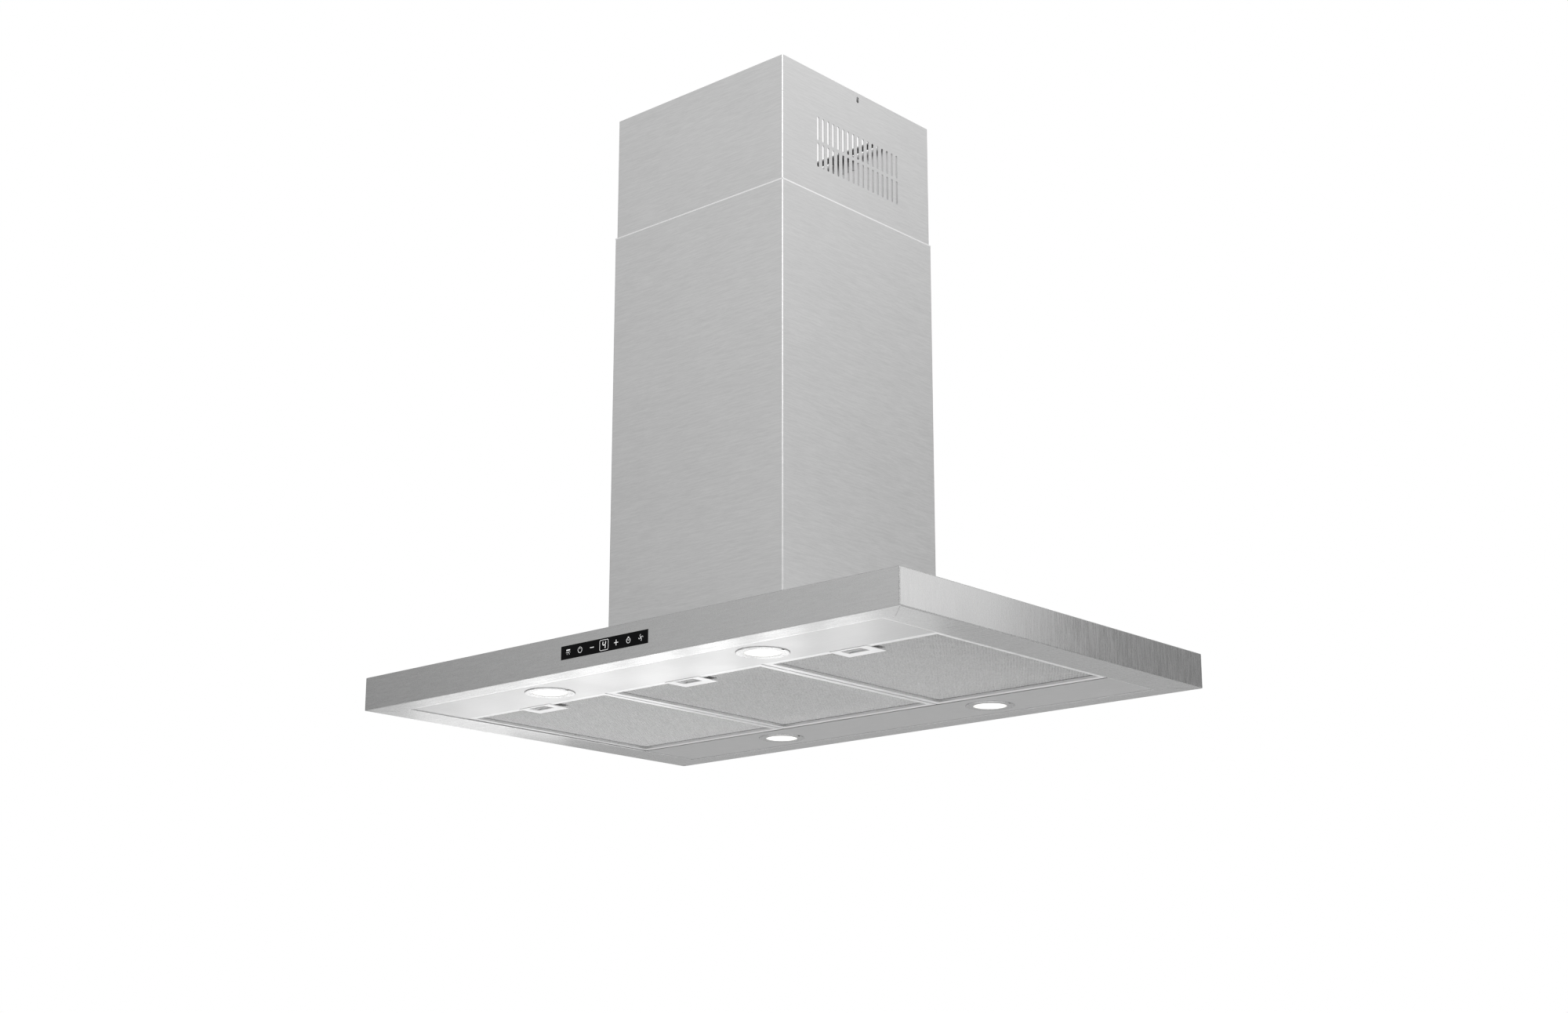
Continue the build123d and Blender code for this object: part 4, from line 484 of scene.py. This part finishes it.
# ---------------------------------------------------------------- touch panel
glass_low, glass_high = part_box("control_glass")
GLASS_LIP = 4.0 * MM
GLASS_STEP = 1.0 * MM
GLASS_SET_BACK = 0.10 * MM
GLASS_FRONT_ROUND = 0.5 * MM
GLASS_BACK_ROUND = 0.4 * MM
SYMBOL_RAISE = 0.05 * MM
SYMBOL_LINE = 0.62 * MM
SYMBOL_PITCH = 20.6 * MM
face_y = glass_low.y + GLASS_SET_BACK
glass_z = (glass_low.z + glass_high.z) / 2

bm = bmesh.new()
solid_box(bm, (glass_low.x + GLASS_LIP, face_y, glass_low.z + GLASS_LIP),
          (glass_high.x - GLASS_LIP, glass_low.y + GLASS_STEP, glass_high.z - GLASS_LIP))
front_edges = [e for e in bm.edges if all(v.co.y < face_y + TINY for v in e.verts)]
corner_edges = [e for e in bm.edges if abs(e.verts[0].co.y - e.verts[1].co.y) > TINY]
soften(bm, front_edges + corner_edges, GLASS_FRONT_ROUND, 3)
back = solid_box(bm, (glass_low.x, glass_low.y + GLASS_STEP, glass_low.z), tuple(glass_high))
soften(bm, list({e for v in back for e in v.link_edges}), GLASS_BACK_ROUND)
piece("touch_glass", bm, FINISHES["panel_glass"], "hood", ("control_glass",))


def stroke(bm, start, end, width=SYMBOL_LINE):
    """A straight stroke on the glass between two points, given across and up in metres."""
    made = bmesh.ops.create_grid(bm, x_segments=1, y_segments=1, size=0.5)["verts"]
    run = Vector((end[0] - start[0], end[1] - start[1]))
    bmesh.ops.scale(bm, verts=made, vec=(run.length, width, 1))
    turn = Matrix.Rotation(math.atan2(run.y, run.x), 3, "Z")
    bmesh.ops.rotate(bm, verts=made, cent=(0, 0, 0), matrix=turn)
    bmesh.ops.rotate(bm, verts=made, cent=(0, 0, 0), matrix=Matrix.Rotation(math.pi / 2, 3, "X"))
    middle = ((start[0] + end[0]) / 2, face_y, glass_z + (start[1] + end[1]) / 2)
    bmesh.ops.translate(bm, verts=made, vec=middle)


def curve(bm, middle, radius, start, sweep, width=SYMBOL_LINE, steps=20):
    """Part of a ring on the glass; the angles are in degrees from across, going up."""
    spoke = Vector((math.cos(math.radians(start)), 0, math.sin(math.radians(start))))
    centre = Vector((middle[0], face_y, glass_z + middle[1]))
    ends = [bm.verts.new(centre + spoke * (radius + side * width / 2)) for side in (-1, 1)]
    edge = bm.edges.new(ends)
    bmesh.ops.spin(bm, geom=ends + [edge], cent=centre, axis=(0, -1, 0), angle=math.radians(sweep),
                   steps=steps, use_merge=abs(sweep) >= 360)


def lamp_symbol(bm, x):
    """A flat lamp with rays of light below it."""
    stroke(bm, (x - 3.2 * MM, 2.7 * MM), (x + 3.2 * MM, 2.7 * MM), 1.4 * MM)
    curve(bm, (x, 1.2 * MM), 1.7 * MM, 195, 150)
    for lean in (-1, 1):
        stroke(bm, (x + lean * 2.6 * MM, 0.4 * MM), (x + lean * 3.6 * MM, -0.4 * MM), 0.5 * MM)
        stroke(bm, (x + lean * 1.5 * MM, -1.3 * MM), (x + lean * 2.2 * MM, -2.9 * MM), 0.5 * MM)


def power_symbol(bm, x):
    curve(bm, (x, 0), 3.4 * MM, 115, 310)
    stroke(bm, (x, 1.0 * MM), (x, 4.2 * MM))


def minus_symbol(bm, x):
    stroke(bm, (x - 3.4 * MM, 0), (x + 3.4 * MM, 0), 0.9 * MM)


def plus_symbol(bm, x):
    minus_symbol(bm, x)
    stroke(bm, (x, 3.4 * MM), (x, 0.47 * MM), 0.9 * MM)
    stroke(bm, (x, -3.4 * MM), (x, -0.47 * MM), 0.9 * MM)


def digit_symbol(bm, x):
    """The figure 4 in bars, leaning a little, inside a rounded frame."""
    wide, high, bend, thin, thick = 7.2 * MM, 6.2 * MM, 1.6 * MM, 0.55 * MM, 1.1 * MM
    for side in (-1, 1):
        stroke(bm, (x - wide + bend, side * high), (x + wide - bend, side * high), thin)
        stroke(bm, (x + side * wide, -high + bend), (x + side * wide, high - bend), thin)
    for sx, sz, start in ((1, 1, 0), (-1, 1, 90), (-1, -1, 180), (1, -1, 270)):
        curve(bm, (x + sx * (wide - bend), sz * (high - bend)), bend, start, 90, thin, 6)
    lean = 0.7 * MM
    stroke(bm, (x - 2.3 * MM + lean, 4.1 * MM), (x - 2.6 * MM + lean / 2, 0.55 * MM), thick)
    stroke(bm, (x - 2.2 * MM + lean / 2, 0), (x + 1.7 * MM + lean / 2, 0), thick)
    stroke(bm, (x + 2.3 * MM + lean, 4.1 * MM), (x + 2.2 * MM + lean / 2, 0.55 * MM), thick)
    stroke(bm, (x + 2.1 * MM + lean / 2, -0.55 * MM), (x + 1.9 * MM, -4.1 * MM), thick)


def timer_symbol(bm, x):
    curve(bm, (x, -0.5 * MM), 3.1 * MM, 0, 360, steps=28)
    stroke(bm, (x - 1.2 * MM, 3.7 * MM), (x + 1.2 * MM, 3.7 * MM))
    stroke(bm, (x - 1.3 * MM, 0.8 * MM), (x - 0.2 * MM, -0.5 * MM), 0.5 * MM)
    stroke(bm, (x + 0.2 * MM, -0.4 * MM), (x + 1.4 * MM, 0.6 * MM), 0.5 * MM)


def fan_symbol(bm, x):
    """Four curved blades round a hub."""
    curve(bm, (x, 0), 0.5 * MM, 0, 360, 0.45 * MM, 12)
    for quarter in range(4):
        turn = math.radians(90 * quarter)
        middle = (x + 2.3 * MM * math.cos(turn), 2.3 * MM * math.sin(turn))
        curve(bm, middle, 1.4 * MM, 90 * quarter, 180, 0.5 * MM, 10)


bm = bmesh.new()
symbols = (lamp_symbol, power_symbol, minus_symbol, digit_symbol, plus_symbol, timer_symbol, fan_symbol)
for index, draw in enumerate(symbols):
    draw(bm, (index - (len(symbols) - 1) / 2) * SYMBOL_PITCH)
for face in bm.faces:
    face.normal_update()
flipped = [face for face in bm.faces if face.normal.y > 0]
bmesh.ops.reverse_faces(bm, faces=flipped)
raised = bmesh.ops.extrude_face_region(bm, geom=bm.faces[:], use_keep_orig=True)
bmesh.ops.translate(bm, verts=[v for v in raised["geom"] if isinstance(v, bmesh.types.BMVert)],
                    vec=(0, -SYMBOL_RAISE, 0))
piece("touch_symbols", bm, SYMBOL_WHITE, "hood")


# ---------------------------------------------------------------- studio
FLOOR_Z = -3.6
FLOOR_HALF = 30.0
CAMERA_PLACE = Vector((1.9125, -2.1255, -1.3498))
CAMERA_AZIMUTH = math.radians(41.703)
CAMERA_RISE = math.radians(13.857)
CAMERA_SENSOR = 36.0
CAMERA_LENS = 52.25
CAMERA_SHIFT_Y = 0.05
CAMERA_NEAR = 0.02
BACKDROP_LEVEL = 1.0
AMBIENT = 0.15
# Azimuth from +X and rise in degrees, half angles where a panel is full and where it ends, brightness.
PANELS = (
    (252, 24, 5, 47, 0.70),
    (26, 5, 5, 34, 1.00),
    (52, 42, 5, 28, 0.88),
    (318, 35, 5, 30, 1.6),
    (0, 90, 20, 80, 0.30),
)
# Place, aim, size across and along, power in watts, spread in degrees.
LIGHTS = {
    "studio_key": ((2.6, -3.4, 1.6), (0, 0, -0.6), (2.0, 2.0), 45, 180),
    "studio_back": ((-2.6, 3.2, 1.4), (0, 0, -0.6), (2.0, 2.0), 28, 180),
    "floor_bounce": ((0, 0, -2.3), (0, 0, 0), (2.5, 2.5), 12, 180),
    "side_card": ((1.18, 0.61, -0.49), (0.45, -0.28, -0.775), (0.36, 0.26), 0.007, 28),
}
RIM_CARD_COUNT = 9
RIM_CARD_PITCH = 0.125
RIM_CARD_SIZE = (0.16, 0.12)
RIM_CARD_POWER = 0.00092
RIM_CARD_SPREAD = 20
RIM_CARD_AWAY = Vector((-0.525, 0.53, -0.15))
RIM_FRONT_Y = -0.28


def direction_of(azimuth, rise):
    """The unit vector of an azimuth from +X and a rise, both in degrees."""
    level = math.cos(math.radians(rise))
    return Vector((math.cos(math.radians(azimuth)) * level, math.sin(math.radians(azimuth)) * level,
                   math.sin(math.radians(rise))))


def floor():
    """The pale studio floor, far below the hood."""
    bm = bmesh.new()
    bmesh.ops.create_grid(bm, x_segments=1, y_segments=1, size=FLOOR_HALF)
    bmesh.ops.translate(bm, verts=bm.verts, vec=(0, 0, FLOOR_Z))
    mesh = bpy.data.meshes.new("studio_floor")
    bm.to_mesh(mesh)
    bm.free()
    made = Finish("floor_pale", metallic=0.0, roughness=0.85)
    made.colour(made.blend(made.noise((3, 3, 3)), grey(0.80), grey(0.84)))
    mesh.materials.append(made.material)
    studio = bpy.data.objects.new("studio_floor", mesh)
    bpy.context.scene.collection.objects.link(studio)


def studio_world(ambient, panels):
    """A white backdrop, and soft panels round the room that only reflections and light see."""
    world = bpy.data.worlds.new("studio")
    world.use_nodes = True
    bpy.context.scene.world = world
    tree = world.node_tree
    background = tree.nodes["Background"]
    direction = tree.nodes.new("ShaderNodeTexCoord").outputs["Generated"]
    total = None
    for azimuth, rise, inner, outer, strength in panels:
        dot = tree.nodes.new("ShaderNodeVectorMath")
        dot.operation = "DOT_PRODUCT"
        tree.links.new(direction, dot.inputs[0])
        dot.inputs[1].default_value = direction_of(azimuth, rise)
        soft = tree.nodes.new("ShaderNodeMapRange")
        soft.interpolation_type = "SMOOTHSTEP"
        tree.links.new(dot.outputs["Value"], soft.inputs["Value"])
        soft.inputs["From Min"].default_value = math.cos(math.radians(outer))
        soft.inputs["From Max"].default_value = math.cos(math.radians(inner))
        soft.inputs["To Min"].default_value = 0.0
        soft.inputs["To Max"].default_value = strength
        joined = tree.nodes.new("ShaderNodeMath")
        joined.operation = "ADD"
        tree.links.new(soft.outputs[0], joined.inputs[0])
        if total is None:
            joined.inputs[1].default_value = ambient
        else:
            tree.links.new(total, joined.inputs[1])
        total = joined.outputs[0]
    seen = tree.nodes.new("ShaderNodeLightPath").outputs["Is Camera Ray"]
    choice = tree.nodes.new("ShaderNodeMix")
    choice.data_type = "FLOAT"
    tree.links.new(seen, choice.inputs[0])
    tree.links.new(total, choice.inputs[2])
    choice.inputs[3].default_value = BACKDROP_LEVEL
    tree.links.new(choice.outputs[0], background.inputs["Strength"])
    background.inputs["Color"].default_value = (1, 1, 1, 1)


def soft_light(name, place, aim, size, power, spread):
    """A rectangular light at a place, turned to its aim, that only reflections see."""
    data = bpy.data.lights.new(name, "AREA")
    data.shape = "RECTANGLE"
    data.size, data.size_y = size
    data.energy = power
    lamp = bpy.data.objects.new(name, data)
    lamp.location = place
    data.spread = math.radians(spread)
    lamp.rotation_euler = (Vector(aim) - Vector(place)).to_track_quat("-Z", "Y").to_euler()
    lamp.visible_camera = False
    bpy.context.scene.collection.objects.link(lamp)


floor()
studio_world(AMBIENT, PANELS)
for light, settings in LIGHTS.items():
    soft_light(light, *settings)
for index in range(RIM_CARD_COUNT):
    across = (index - (RIM_CARD_COUNT - 1) / 2) * RIM_CARD_PITCH
    lit = Vector((across, RIM_FRONT_Y, shell_low.z))
    soft_light("front_rim_card_%d" % index, lit + RIM_CARD_AWAY, lit, RIM_CARD_SIZE, RIM_CARD_POWER,
               RIM_CARD_SPREAD)

camera_data = bpy.data.cameras.new("camera")
camera_data.sensor_width = CAMERA_SENSOR
camera_data.lens = CAMERA_LENS
camera_data.shift_y = CAMERA_SHIFT_Y
camera_data.clip_start = CAMERA_NEAR
camera = bpy.data.objects.new("camera", camera_data)
camera.location = CAMERA_PLACE
camera.rotation_euler = (math.pi / 2 + CAMERA_RISE, 0, CAMERA_AZIMUTH)
bpy.context.scene.collection.objects.link(camera)
bpy.context.scene.camera = camera
bpy.context.scene.view_settings.view_transform = "Standard"
